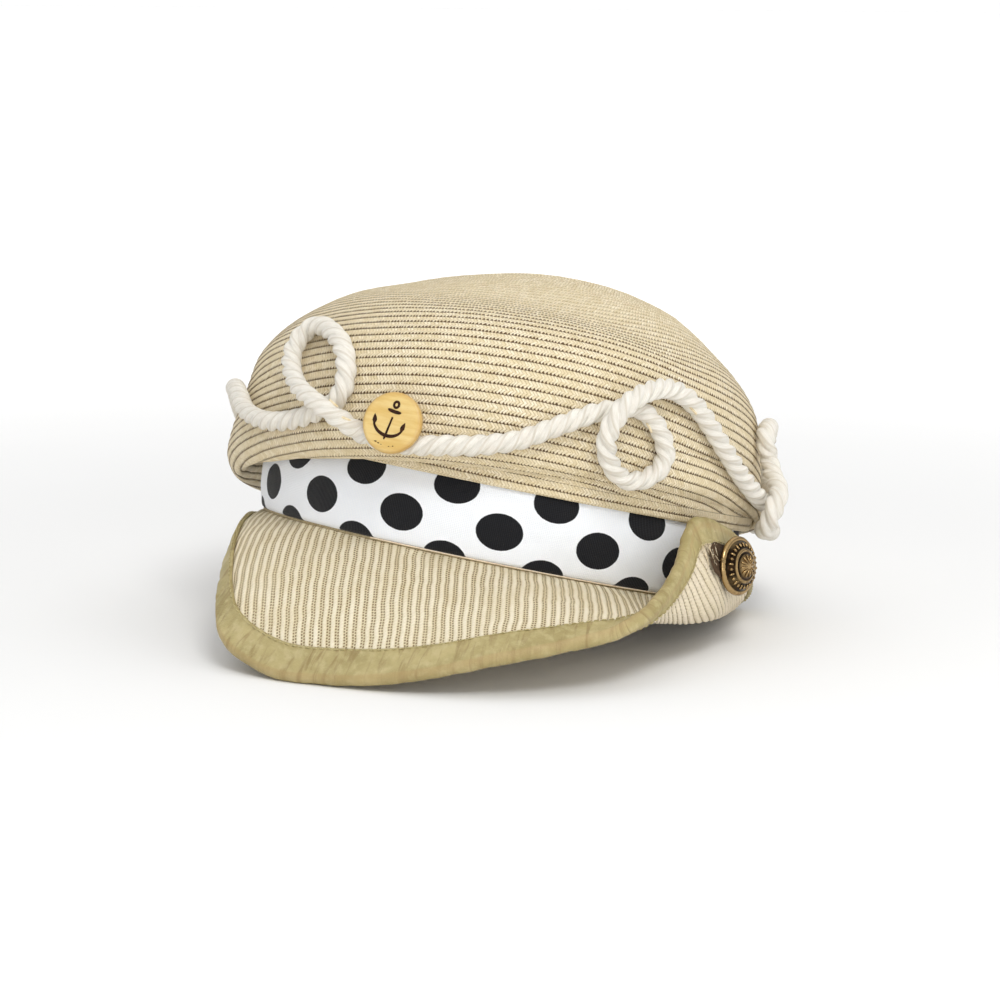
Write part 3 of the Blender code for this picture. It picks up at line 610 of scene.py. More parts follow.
def leather_material():
    m = Mat("olive_leather_soft", rough=0.5, spec=0.38)
    u, v = m.uv()
    big = m.noise(55.0, 4.0, 0.6)
    mid = m.noise(260.0, 4.0, 0.6)
    cells = m.voronoi(1500.0)
    streak = m.noise(1.0, 4.0, 0.6, m.vec(m.math("MULTIPLY", u, 0.35), m.math("MULTIPLY", v, 0.05), 0.0), 0.6)
    col = m.mix(m.step(big, 0.32, 0.68), rgb(158, 144, 94), rgb(184, 169, 119))
    col = m.mix(m.step(mid, 0.42, 0.72, 0.0, 0.7), col, rgb(194, 181, 136))
    col = m.mix(m.step(streak, 0.48, 0.70, 0.0, 0.75), col, rgb(140, 119, 74))
    # worn crest of the fold
    wear = m.step(m.math("ABSOLUTE", m.math("ADD", v, 1.2)), 0.0, 2.0, 0.4, 0.0)
    col = m.mix(wear, col, rgb(172, 144, 98))
    m.colour(col)
    m.rough(m.step(mid, 0.3, 0.8, 0.44, 0.6))
    h = m.math("ADD", m.math("MULTIPLY", cells, 0.5), m.math("MULTIPLY", mid, 0.8))
    h = m.math("ADD", h, m.math("MULTIPLY", streak, 0.9))
    m.bump(h, 0.00028, 0.7)
    return m.m


def rope_material():
    """u = mm along, v = strand angle fraction; fibres run along the strands."""
    m = Mat("cream_cotton_rope", rough=0.86, spec=0.18, sheen=0.2)
    u, v = m.uv()
    fib = m.noise(1.0, 5.0, 0.7, m.vec(m.math("MULTIPLY", u, 0.32), m.math("MULTIPLY", v, 95.0), 0.0))
    soft = m.noise(170.0, 3.0, 0.6)
    g = m.math("FRACT", m.math("MULTIPLY", v, 3.0))
    lane = m.math("ABSOLUTE", m.math("SUBTRACT", g, 0.5))
    strand_groove_shade = m.step(lane, 0.36, 0.5)
    col = m.mix(m.step(fib, 0.35, 0.68), rgb(249, 246, 238), rgb(227, 220, 206))
    col = m.mix(m.step(soft, 0.45, 0.75, 0.0, 0.5), col, rgb(240, 231, 218))
    # grooves between the strands are darkened: painted shade
    col = m.mix(m.math("MULTIPLY", strand_groove_shade, 0.38), col, rgb(186, 170, 142))
    m.colour(col)
    h = m.math("ADD", fib, m.math("MULTIPLY", soft, 0.3))
    m.bump(h, 0.00040, 0.85)
    return m.m


def wood_material():
    """u, v = mm across the button's face."""
    m = Mat("light_button_wood", rough=0.36, spec=0.45, coat=0.25)
    u, v = m.uv()
    ring = m.noise(1.0, 3.0, 0.5, m.vec(m.math("MULTIPLY", u, 0.06), m.math("MULTIPLY", v, 0.42), 3.0), 0.4)
    fine = m.noise(1.0, 5.0, 0.7, m.vec(m.math("MULTIPLY", u, 0.35), m.math("MULTIPLY", v, 4.5), 7.0))
    col = m.mix(m.step(ring, 0.35, 0.68), rgb(228, 200, 134), rgb(216, 180, 104))
    col = m.mix(m.step(fine, 0.5, 0.75, 0.0, 0.4), col, rgb(196, 154, 80))
    r = m.math("SQRT", m.math("ADD", m.math("MULTIPLY", u, u), m.math("MULTIPLY", v, v)))
    col = m.mix(m.step(r, 9.6, 11.2, 0.0, 0.55), col, rgb(186, 142, 68))
    m.colour(col)
    m.bump(fine, 0.00008, 0.5)
    return m.m


def burnt_material():
    m = Mat("burnt_line", rough=0.75, spec=0.2)
    n = m.noise(900.0, 3.0, 0.6)
    m.colour(m.mix(m.step(n, 0.35, 0.7), rgb(40, 22, 12), rgb(66, 36, 18)))
    m.bump(n, 0.00006, 0.6)
    return m.m


def brass_material():
    """u = radius in mm, v = height; recesses are dark, crests are bright from rubbing and from a painted highlight."""
    m = Mat("antique_brass_worn_painted_highlight", rough=0.3, metal=1.0)
    u, v = m.uv()
    n1 = m.noise(330.0, 4.0, 0.6)
    n2 = m.noise(90.0, 3.0, 0.5)
    # dark patina in the recesses; the bright crest colour is rubbed brass plus a painted highlight
    col = m.mix(m.step(v, 0.25, 0.95), rgb(34, 26, 18), rgb(172, 144, 100))
    col = m.mix(m.step(n1, 0.45, 0.7, 0.0, 0.6), col, rgb(70, 50, 32))
    col = m.mix(m.step(n2, 0.55, 0.8, 0.0, 0.35), col, rgb(190, 162, 112))
    m.colour(col)
    m.rough(m.step(n1, 0.3, 0.8, 0.14, 0.34))
    m.bump(n1, 0.00008, 0.4)
    return m.m


def plain_thread(name, a, b, rough=0.8):
    m = Mat(name, rough=rough, spec=0.2)
    n = m.noise(1200.0, 3.0, 0.6)
    m.colour(m.mix(m.step(n, 0.3, 0.7), a, b))
    m.bump(n, 0.00008, 0.6)
    return m.m


BRAID = braid_material("straw_braid_rows", rgb(251, 240, 215), rgb(225, 208, 169), rgb(184, 159, 114), rgb(88, 60, 30))
# a darker copy of the braid for the inside of the crown: painted shade
BRAID_IN_SHADED = braid_material("straw_braid_inside_painted_shade", rgb(228, 213, 178), rgb(208, 188, 146), rgb(160, 134, 88), rgb(104, 80, 46))
JERSEY = jersey_material()
RIB_TOP = rib_material("corded_straw_top", RIB_PITCH)
RIB_UNDER = rib_material("corded_straw_under", RIB_UNDER_PITCH, under=True)
LEATHER = leather_material()
ROPE_MAT = rope_material()
WOOD = wood_material()
BURNT = burnt_material()
BRASS = brass_material()
THREAD = plain_thread("olive_stitch", rgb(168, 154, 108), rgb(196, 184, 140))
PALE = plain_thread("pale_straw_thread", rgb(236, 222, 196), rgb(205, 186, 150))
PEACH = plain_thread("peach_piping", rgb(240, 226, 204), rgb(224, 204, 176))
# painted shadow colour for the dark patch beside the brass button
SHADE = plain_thread("painted_gap_shadow", rgb(58, 44, 32), rgb(92, 72, 52), 0.9)

# ---------------------------------------------------------------- crown
# a row's face: low just under its upper neighbour, proud at its own lower edge
ROW_SHAPE = [(0.0, -0.06), (0.10, 0.06), (0.26, 0.15), (0.46, 0.22), (0.66, 0.27), (0.84, 0.28), (0.95, 0.18)]
V_TOP = 9.5


def top_height(x, y):
    lo, hi = np.full(x.shape, 8.0), np.full(x.shape, 15.0)
    for _ in range(26):
        mid = (lo + hi) / 2
        q = smooth_rows(CROWN, mid)
        r = ((x - q[..., 0]) / np.maximum(q[..., 2], 1e-6)) ** 2 + ((y - q[..., 1]) / np.maximum(q[..., 3], 1e-6)) ** 2
        out = r > 1
        hi, lo = np.where(out, mid, hi), np.where(out, lo, mid)
    mid = (lo + hi) / 2
    q = smooth_rows(CROWN, mid)
    th = np.arctan2((x - q[..., 0]) / np.maximum(q[..., 2], 1e-6), -(y - q[..., 1]) / np.maximum(q[..., 3], 1e-6))
    return crown_at(th, mid)[..., 2]


def crown_paths(n, below, offset):
    """n+1 paths from the given lower stations up to the row centre.
    Returns points and outward normals, [column, step, 3]."""
    th = np.linspace(-math.pi, math.pi, n + 1)
    low = crown_at(th[:, None], below[None, :])
    nl = crown_normal_at(th[:, None], below[None, :])
    q = low[:, -1]
    # the plan path leaves in the meridian's direction and bends to the row centre
    tan = low[:, -1, :2] - low[:, -6, :2]
    tan /= np.maximum(np.linalg.norm(tan, axis=1, keepdims=True), 1e-9)
    c = np.array(ROW_CENTRE)
    dist = np.linalg.norm(c - q[:, :2], axis=1)
    t = np.linspace(0, 1, 170)[1:]
    mid = q[:, None, :2] + tan[:, None] * (dist[:, None, None] * 0.38)
    xy = (q[:, None, :2] * ((1 - t) ** 2)[None, :, None] + mid * (2 * t * (1 - t))[None, :, None]
          + c[None, None] * (t ** 2)[None, :, None])
    z = top_height(xy[..., 0], xy[..., 1])
    top = np.concatenate([xy, z[..., None]], -1)
    e = 1.2
    hx = top_height(xy[..., 0] + e, xy[..., 1]) - top_height(xy[..., 0] - e, xy[..., 1])
    hy = top_height(xy[..., 0], xy[..., 1] + e) - top_height(xy[..., 0], xy[..., 1] - e)
    nt = np.stack([-hx / (2 * e), -hy / (2 * e), np.ones_like(hx)], -1)
    nt /= np.linalg.norm(nt, axis=-1, keepdims=True)
    return np.concatenate([low, top], 1), np.concatenate([nl, nt], 1)


def rows_mesh(P, N, pitch, shape, first, last, sign=1.0, start_level=None):
    """Regular grid whose lines follow the braid rows, counted from the end of each path."""
    ncol = len(P)
    seg = np.linalg.norm(np.diff(P, axis=1), axis=2)
    rho = np.concatenate([np.cumsum(seg[:, ::-1], 1)[:, ::-1], np.zeros((ncol, 1))], 1) / pitch
    levels, offs, rows = [], [], []
    for r in range(first, last):
        for f, d in shape:
            levels.append(r + f); offs.append(d); rows.append(r)
    levels.append(float(last)); offs.append(shape[0][1]); rows.append(last - 1)
    levels, offs = np.array(levels), np.array(offs)
    V = np.zeros((len(levels), ncol, 3))
    mids = np.zeros((last - first, ncol, 3))
    dead = np.zeros((len(levels), ncol), bool)
    for j in range(ncol):
        rj = rho[j, ::-1]
        lim = rj[-1]
        lv = np.minimum(levels, lim)
        keep = levels < lim
        dead[:, j] = ~keep
        pos = np.stack([np.interp(lv, rj, P[j, ::-1, k]) for k in range(3)], -1)
        nor = np.stack([np.interp(lv, rj, N[j, ::-1, k]) for k in range(3)], -1)
        nor /= np.maximum(np.linalg.norm(nor, axis=1, keepdims=True), 1e-9)
        fade = np.clip((lim - levels) / 0.5, 0, 1) * np.clip(levels / 0.6, 0, 1)
        V[:, j] = pos + nor * (sign * offs * fade)[:, None]
        mv = np.minimum(np.arange(first, last) + 0.5, lim)
        mids[:, j] = np.stack([np.interp(mv, rj, P[j, ::-1, k]) for k in range(3)], -1)
    U = np.concatenate([np.zeros((last - first, 1)), np.cumsum(np.linalg.norm(np.diff(mids, axis=1), axis=2), 1)], 1)
    return V, levels, U, dead


def make_rows(name, V, levels, U, dead, first, shape_len, mat, node=None, flip=False, v_shift=0.0):
    nr, nc = V.shape[:2]
    q, rc = grid_quads(nr, nc, flip=not flip)
    live = ~(dead[rc[..., 0], rc[..., 1]].all(1))
    q, rc = q[live], rc[live]
    face_row = rc[..., 0].min(1) // shape_len
    uu = U[face_row[:, None], rc[..., 1]]
    vv = levels[rc[..., 0]] + v_shift
    uv = np.stack([uu, vv], -1)
    return build(name, V.reshape(-1, 3), q, uv.reshape(-1, 2), mat, node, merge=2e-6)


NCOL = 300
below = np.linspace(2.0, V_TOP, 620)
P, N = crown_paths(NCOL, below, 0.0)
P = P + N * (0.16 * wobble(P, 38.0, 3) + 0.07 * wobble(P, 11.0, 4))[..., None]
max_rho = np.linalg.norm(np.diff(P, axis=1), axis=2).sum(1).max() / ROW_PITCH
LAST = int(math.ceil(max_rho))
SPLIT = 34
V, lv, U, dead = rows_mesh(P, N, ROW_PITCH, ROW_SHAPE, 0, SPLIT)
make_rows("crown_top_rows", V, lv, U, dead, 0, len(ROW_SHAPE), BRAID, "crown")
V, lv, U, dead = rows_mesh(P, N, ROW_PITCH, ROW_SHAPE, SPLIT, LAST)
make_rows("crown_side_rows", V, lv, U, dead, SPLIT, len(ROW_SHAPE), BRAID, "crown")

# strip under the crease: two rows, then round the hem
sv = np.linspace(0.0, 2.0, 60)
th = np.linspace(-math.pi, math.pi, NCOL + 1)
PS = crown_at(th[:, None], sv[None, :])
NS = crown_normal_at(th[:, None], sv[None, :])
slen = np.linalg.norm(np.diff(PS, axis=1), axis=2).sum(1).mean()
V, lv, U, dead = rows_mesh(PS, NS, slen / 2.001, ROW_SHAPE, 0, 2)
make_rows("crown_strip_rows", V, lv, U, dead, 0, len(ROW_SHAPE), BRAID, "crown", v_shift=60.0)

# inside of the crown
IN_COL = 150
thi = np.linspace(-math.pi, math.pi, IN_COL + 1)
lows = [0.0, 0.5, 1.0, 1.5, 2.0, 3.0, 4.0, 4.9]
pts = []
for v0 in lows:
    p, nn = crown_at(thi, v0), crown_normal_at(thi, v0)
    if v0 in (2.0, 4.0):
        p = p + np.array([0, 0, STRAW_T * 1.1])
    elif v0 == 3.0:
        lean = (np.maximum(0.0, np.cos(thi)) ** 6)[:, None]
        p = p + (np.array([0, 0, 1.1]) * lean - nn * (1 - lean)) * STRAW_T
    else:
        p = p - nn * STRAW_T
    pts.append(p)
lowp = np.stack(pts, 1)
dense = []
for i in range(lowp.shape[1] - 1):
    for k in range(8):
        dense.append(lowp[:, i] * (1 - k / 8) + lowp[:, i + 1] * (k / 8))
lowd = np.stack(dense, 1)
b2 = np.linspace(4.9, V_TOP, 240)
P2, N2 = crown_paths(IN_COL, b2, 0.0)
P2 = P2 - N2 * STRAW_T
PI = np.concatenate([lowd, P2], 1)
dcol = np.gradient(PI, axis=0)
dst = np.gradient(PI, axis=1)
NI = np.cross(dcol, dst)
NI /= np.maximum(np.linalg.norm(NI, axis=-1, keepdims=True), 1e-9)
NI[:, -60:] = N2[:, -60:]
IN_SHAPE = [(0.0, -0.3), (0.12, 0.0), (0.5, 0.18), (0.88, 0.0)]
lin = int(math.ceil(np.linalg.norm(np.diff(PI, axis=1), axis=2).sum(1).max() / ROW_PITCH))
V, lv, U, dead = rows_mesh(PI, NI, ROW_PITCH, IN_SHAPE, 0, lin, sign=-1.0)
make_rows("crown_inside_rows", V, lv, U, dead, 0, len(IN_SHAPE), BRAID_IN_SHADED, "crown", flip=True, v_shift=60.0)

# hem edge between the outer and the inner side
hem_o = crown_at(th, 0.0)
hem_i = hem_o - crown_normal_at(th, 0.0) * STRAW_T
hem = np.stack([hem_o + [0, 0, 0.1], (hem_o * 0.75 + hem_i * 0.25) - [0, 0, 0.45], (hem_o + hem_i) / 2 - [0, 0, 0.6],
                (hem_o * 0.25 + hem_i * 0.75) - [0, 0, 0.45], hem_i + [0, 0, 0.1]], 0)
q, rc = grid_quads(5, NCOL + 1)
uh = np.concatenate([[0], np.cumsum(np.linalg.norm(np.diff(hem_o, axis=0), axis=1))])
build("crown_hem", hem.reshape(-1, 3), q, np.stack([uh[rc[..., 1]], 60.25 + 0.12 * rc[..., 0]], -1).reshape(-1, 2), BRAID, "crown", merge=2e-6)

# ---------------------------------------------------------------- band
def press(th):
    d = np.degrees(np.arctan2(np.sin(th), np.cos(th)))
    t = np.minimum(np.clip((d - 42.0) / 24.0, 0, 1), np.clip((118.0 - d) / 22.0, 0, 1))
    return t * t * (3 - 2 * t)


SEC = [(0.0, 1.2), (0.0, 8.0), (0.0, 16.0), (0.0, 25.0), (0.0, 31.5), (1.0, 32.9), (2.4, 33.0), (3.8, 32.2), (4.6, 29.4),
       (6.0, 25.0), (7.0, 21.0), (7.2, 16.5), (7.0, 12.0), (6.5, 7.6), (5.7, 3.4), (4.9, 0.9), (3.6, 0.1), (2.0, 0.0), (0.7, 0.15)]
ns = len(SEC)
secs = smooth_rows(SEC[-1:] + SEC + SEC[:2], np.linspace(1, ns + 1, 56, endpoint=False))
NB = 400
thb = np.linspace(-math.pi, math.pi, NB + 1)
r = secs[:, 0][:, None]
z = secs[:, 1][:, None]
squeeze = np.where((r > 3.5) & (z > 0.6) & (z < 32.4), 1.0 - 0.38 * press(thb)[None, :], 1.0)
rr = r * squeeze
zz = z + 0 * thb[None, :]
B = np.stack([(HEAD_A + rr) * np.sin(thb), -(HEAD_B + rr) * np.cos(thb), zz], -1)
rad = np.stack([np.sin(thb), -np.cos(thb), 0 * thb], -1)[None]
outer = np.clip((r - 3.6) / 2.0, 0, 1)[..., None]
B = B + rad * outer * (0.28 * wobble(B * [1, 1, 2.2], 34.0, 8) + 0.10 * wobble(B, 9.0, 9))[..., None]
q, rc = grid_quads(56, NB + 1, wrap_r=True, flip=True)
ub = np.degrees(thb) * 37.8 / 22.66
uv = np.stack([ub[rc[..., 1]], zz[rc[..., 0] % 56, 0]], -1)
uv[..., 1] = np.where((rc[..., 0] % 56 < 18)[...], uv[..., 1], uv[..., 1])
band = build("band_padded", B.reshape(-1, 3), q, uv.reshape(-1, 2), JERSEY, "band", merge=2e-6)

# seam of the band at the back, and the thin peach piping on its lower edge
piping = Parts()
tp = np.radians(np.linspace(-30, 96, 260))
path = np.stack([(HEAD_A + 4.2 - 1.2 * press(tp)) * np.sin(tp), -(HEAD_B + 4.2 - 1.2 * press(tp)) * np.cos(tp), np.full(260, -0.12)], -1)
piping.add(*tube(path, 0.26, 8))
piping.make("band_piping", PEACH)
# filler tube under the band's foot, coloured as straw in shade: a seam line and a painted contact shadow
foot = Parts()
tf = np.radians(np.linspace(-101, 98, 320))
path = np.stack([(HEAD_A + 3.3 - 0.6 * press(tf)) * np.sin(tf), -(HEAD_B + 3.3 - 0.6 * press(tf)) * np.cos(tf), np.full(320, -0.28)], -1)
foot.add(*tube(path, 0.62, 8))
foot.make("band_foot_seam", plain_thread("foot_seam_and_shadow", rgb(186, 172, 140), rgb(150, 134, 102)))
seam = Parts()
zs = np.linspace(2.5, 29.5, 30)
rs = np.interp(zs, [0.9, 3.4, 7.6, 12, 16.5, 21, 25, 29.4], [4.9, 5.7, 6.5, 7.0, 7.2, 7.0, 6.0, 4.6])
for off in (-0.55, 0.55):
    seam.add(*tube(np.stack([np.full(30, off), HEAD_B + rs + 0.15, zs], -1), 0.42, 8))
seam.make("band_back_seam", plain_thread("jersey_seam", rgb(246, 247, 250), rgb(226, 228, 234)))

# ---------------------------------------------------------------- peak
ND, NVP = 640, 66
degs = np.linspace(PEAK[0][0], PEAK[-1][0], ND)
Lp = peak_length_at(degs)


def flat_pattern():
    """Flat x (across the cords) and y (along them) of every grid point of the sheet."""
    v = np.linspace(0, 1, 25)
    G = peak_at(degs[:, None], v[None, :])
    seg = np.linalg.norm(np.diff(G, axis=1), axis=2)
    L = seg.sum(1)
    t0 = G[:, 1] - G[:, 0]; t0 /= np.linalg.norm(t0, axis=1, keepdims=True)
    t1 = G[:, -1] - G[:, -2]; t1 /= np.linalg.norm(t1, axis=1, keepdims=True)
    A, Bp = np.zeros((ND, 2)), np.zeros((ND, 2))
    i0 = int(np.argmin(np.abs(degs + 2.0)))
    lean = math.radians(12.3)
    A[i0] = (0, 0)
    Bp[i0] = (-math.sin(lean) * L[i0], math.cos(lean) * L[i0])
    for step in (1, -1):
        i = i0
        while 0 <= i + step < ND:
            j = i + step
            y = (Bp[i] - A[i]) / np.linalg.norm(Bp[i] - A[i])
            x = np.array([y[1], -y[0]]) * step
            ca, cb = G[j, 0] - G[i, 0], G[j, -1] - G[i, -1]
            la, lb = np.linalg.norm(ca), np.linalg.norm(cb)
            cosa, cosb = (ca @ t0[i]) / la, (cb @ t1[i]) / lb
            A[j] = A[i] + x * la * math.sqrt(max(0, 1 - cosa ** 2)) + y * la * cosa
            Bp[j] = Bp[i] + x * lb * math.sqrt(max(0, 1 - cosb ** 2)) + y * lb * cosb
            d = Bp[j] - A[j]
            # keep the true column length
            m = (A[j] + Bp[j]) / 2
            d *= L[j] / np.linalg.norm(d)
            A[j], Bp[j] = m - d / 2, m + d / 2
            i = j
    return A, Bp, L, np.concatenate([np.zeros((ND, 1)), np.cumsum(seg, 1)], 1) / L[:, None], v


FA, FB, FL, FS, FV = flat_pattern()
straw_end = 1.0 - (2 * BIND_GAP + PEAK_T / 2 + BIND_T) / Lp
V01 = np.linspace(0, 1, NVP)
VV = V01[None, :] * straw_end[:, None]
G = peak_at(degs[:, None], VV)
GN = peak_normal_at(degs[:, None], VV)
frac = np.stack([np.interp(VV[i], FV, FS[i]) for i in range(ND)])
flat = FA[:, None] * (1 - frac[..., None]) + FB[:, None] * frac[..., None]
W, T = flat[..., 0], flat[..., 1]


def rib_height(w, under):
    k = w / (RIB_UNDER_PITCH if under else RIB_PITCH)
    f = np.abs(k - np.floor(k) - 0.5)
    if under:
        return 0.80 * np.sqrt(np.clip(1 - (f / 0.49) ** 2, 0, 1)) - 0.34
    return 0.34 * np.sqrt(np.clip(1 - (f / 0.25) ** 2, 0, 1)) - 0.05


# the cords are not quite straight
bend_p = np.stack([W * 0.45, T, 0 * W], -1)
W = W + 0.32 * wobble(bend_p, 22.0, 41) + 0.10 * wobble(bend_p, 8.0, 42)


wave = 0.22 * wobble(G, 30.0, 21) + 0.08 * wobble(G, 9.0, 22)
fade = np.clip(V01[None, :] / 0.05, 0, 1)
top = G + GN * (0.9 + (rib_height(W, False)) * fade + wave)[..., None]
bot = G - GN * (0.9 + (rib_height(W, True)) * fade - wave)[..., None]
q, rc = grid_quads(ND, NVP)
uvp = np.stack([W[rc[..., 0], rc[..., 1]], T[rc[..., 0], rc[..., 1]]], -1)
build("peak_cords_top", top.reshape(-1, 3), q, uvp.reshape(-1, 2), RIB_TOP, "peak")
q2, rc2 = grid_quads(ND, NVP, flip=True)
uvq = np.stack([W[rc2[..., 0], rc2[..., 1]], T[rc2[..., 0], rc2[..., 1]]], -1)
build("peak_cords_under", bot.reshape(-1, 3), q2, uvq.reshape(-1, 2), RIB_UNDER, "peak")
# sewn root edge and the two short ends
rim = np.concatenate([np.stack([top[:, 0], bot[:, 0]], 1)], 0)
edge = Parts()
qe, rce = grid_quads(ND, 2, flip=True)
edge.add(rim.reshape(-1, 3), qe, None, np.stack([W[rce[..., 0], 0], rce[..., 1] * 2.0], -1))
for e, fl in ((0, False), (ND - 1, True)):
    strip = np.stack([top[e], bot[e]], 1)
    qs, rcs = grid_quads(NVP, 2, flip=fl)
    edge.add(strip.reshape(-1, 3), qs, None, np.stack([rcs[..., 1] * 2.0, T[e, rcs[..., 0]]], -1))
edge.make("peak_root_edge", RIB_UNDER, "peak")

# ---------------------------------------------------------------- leather binding
NS2 = 420
ds = np.linspace(PEAK[0][0], PEAK[-1][0], NS2)
Ls = peak_length_at(ds)
h_in = PEAK_T / 2 + BIND_GAP
h_out = h_in + BIND_T
v_nose = 1.0 - h_out / Ls
depth = {1: np.minimum(BIND_W, 0.6 * Ls), -1: np.minimum(BIND_UNDER, 0.6 * Ls)}
centre = peak_at(ds, v_nose)
outd = peak_at(ds, 1.0) - centre
outd /= np.linalg.norm(outd, axis=1, keepdims=True)
upd = peak_normal_at(ds, v_nose)


def wall(h, side, s):
    v = v_nose - (depth[side] - h_out) * s / Ls
    return peak_at(ds, v) + peak_normal_at(ds, v) * (h * side)


chain, along = [], []
for s in np.linspace(1, 0, 12):
    hh = h_out if s < 0.97 else h_out - 0.45
    chain.append(wall(hh, 1, s)); along.append(depth[1] * s)
for ang in (72, 48, 24, 0, -24, -48, -72):
    a = math.radians(ang)
    chain.append(centre + outd * (h_out * math.cos(a)) + upd * (h_out * math.sin(a))); along.append(0 * ds + ang * -0.02)
for s in np.linspace(0, 1, 10):
    hh = h_out if s < 0.97 else h_out - 0.45
    chain.append(wall(hh, -1, s)); along.append(-depth[-1] * s)
n_out = len(chain)
for s in (1.0, 0.66, 0.33, 0.0):
    chain.append(wall(h_in, -1, s)); along.append(-depth[-1] * s)
chain.append(centre + outd * (h_in * 0.75) - upd * h_in * 0.95); along.append(0 * ds)
chain.append(centre + outd * (h_in * 0.75) + upd * h_in * 0.95); along.append(0 * ds)
for s in (0.0, 0.33, 0.66, 1.0):
    chain.append(wall(h_in, 1, s)); along.append(depth[1] * s)
C = np.stack(chain, 1)
AL = np.stack(along, 1)
sl = np.concatenate([[0], np.cumsum(np.linalg.norm(np.diff(centre, axis=0), axis=1))])
dirs = C - centre[:, None]
nrm = np.zeros_like(C)
dC0 = np.gradient(C, axis=0)
dC1 = (np.roll(C, -1, 1) - np.roll(C, 1, 1))
nrm = np.cross(dC1, dC0)
nrm /= np.maximum(np.linalg.norm(nrm, axis=-1, keepdims=True), 1e-9)
sgn = np.sign((nrm[:, 14] * outd).sum(1))[:, None, None]
nrm = nrm * sgn
amp = np.zeros(C.shape[1]); amp[1:n_out - 1] = 1.0
creases = np.zeros((NS2, C.shape[1]))
rng = np.random.default_rng(12)
for k in range(46):
    s0 = rng.uniform(0, sl[-1]); w0 = rng.uniform(0.7, 2.0); t0 = rng.uniform(-6, 12); l0 = rng.uniform(2.5, 6.0)
    slope = rng.uniform(-0.35, 0.35)
    creases -= rng.uniform(0.12, 0.34) * np.exp(-((sl[:, None] + slope * AL - s0) / w0) ** 2 - ((AL - t0) / l0) ** 2)
# three sharper wrinkles on the turned-up part
for deg0, w0, a0 in ((52.5, 0.9, 0.55), (56.2, 1.0, 0.45), (47.5, 1.1, 0.4), (60.5, 0.9, 0.4)):
    s0 = np.interp(deg0, ds, sl)
    creases -= a0 * np.exp(-((sl[:, None] + 0.15 * AL - s0) / w0) ** 2) * np.exp(-((AL - 1.0) / 7.0) ** 2)
C = C + nrm * (amp[None, :] * (0.20 * wobble(C, 16.0, 31) + 0.09 * wobble(C, 5.5, 32) + creases))[..., None]
q, rc = grid_quads(NS2, C.shape[1], wrap_c=True, flip=True)
m2 = C.shape[1]
uvb = np.stack([sl[rc[..., 0]], AL[rc[..., 0], rc[..., 1] % m2]], -1)
bind = Parts()
bind.add(C.reshape(-1, 3), q, None, uvb)
for e in (0, NS2 - 1):
    k_out = list(range(n_out))
    k_in = list(range(m2 - 1, n_out - 1, -1))
    tris, a, b = [], 0, 0
    base = e * m2
    while a < len(k_out) - 1 or b < len(k_in) - 1:
        if b == len(k_in) - 1 or (a < len(k_out) - 1 and (a + 1) / len(k_out) <= (b + 1) / len(k_in)):
            t3 = (base + k_out[a], base + k_in[b], base + k_out[a + 1]); a += 1
        else:
            t3 = (base + k_out[a], base + k_in[b], base + k_in[b + 1]); b += 1
        tris.append(t3 if e == 0 else t3[::-1])
    bind.t.append(np.array(tris)); bind.ut.append(np.zeros((len(tris) * 3, 2)))
bind.make("peak_binding_leather", LEATHER, "peak_binding")

# stitches along the binding's inner edge, on both faces
st = Parts()
step = 2.9
for side, off in ((1, 1.35), (-1, 1.35)):
    s = 2.0
    while s < sl[-1] - 3.0:
        seg = []
        for k in np.linspace(0, 1, 6):
            dd = np.interp(s + 1.75 * k, sl, ds)
            lk = peak_length_at(np.array([dd]))[0]
            dep = min(BIND_W if side > 0 else BIND_UNDER, 0.6 * lk)
            vn = 1.0 - h_out / lk
            vs = vn - (dep - h_out) * (1 - off / dep) / lk
            lift = h_out + 0.02 + 0.22 * math.sin(math.pi * k)
            seg.append((peak_at(dd, vs) + peak_normal_at(dd, vs) * (lift * side)))
        st.add(*tube(np.array(seg), 0.26, 6))
        s += step
st.make("binding_stitches", THREAD)

# ---------------------------------------------------------------- rope
deg_r = np.radians(np.array([r0[0] for r0 in ROPE]))
v_r = np.array([r0[1] for r0 in ROPE])
lift_r = np.array([r0[2] for r0 in ROPE])
base_r = crown_at(deg_r, v_r)
stp = np.maximum(np.linalg.norm(base_r - np.roll(base_r, 1, 0), axis=1), np.linalg.norm(np.roll(base_r, -1, 0) - base_r, axis=1))
ctr = base_r + crown_normal_at(deg_r, v_r) * (lift_r + stp * stp / 840.0)[:, None]
m = len(ctr)
kn = np.concatenate([[0], np.cumsum(np.sqrt(np.linalg.norm(np.diff(np.vstack([ctr, ctr[:1]]), axis=0), axis=1)))])


def closed_spline(ctrl, knots, ts):
    n = len(ctrl)
    out = np.zeros((len(ts), 3))
    total = knots[-1]
    for a, t in enumerate(ts):
        t = t % total
        i = min(int(np.searchsorted(knots, t, side="right")) - 1, n - 1)
        p0, p1, p2, p3 = ctrl[(i - 1) % n], ctrl[i], ctrl[(i + 1) % n], ctrl[(i + 2) % n]
        h = knots[i + 1] - knots[i]
        hm = knots[i] - knots[i - 1] if i > 0 else knots[n] - knots[n - 1]
        hp = knots[i + 2] - knots[i + 1] if i + 2 <= n else knots[1] - knots[0]
        s = (t - knots[i]) / h
        m1 = ((p2 - p1) / h * hm + (p1 - p0) / hm * h) / (h + hm) * h
        m2_ = ((p3 - p2) / hp * h + (p2 - p1) / h * hp) / (h + hp) * h
        s2, s3 = s * s, s ** 3
        out[a] = (2 * s3 - 3 * s2 + 1) * p1 + (s3 - 2 * s2 + s) * m1 + (-2 * s3 + 3 * s2) * p2 + (s3 - s2) * m2_
    return out


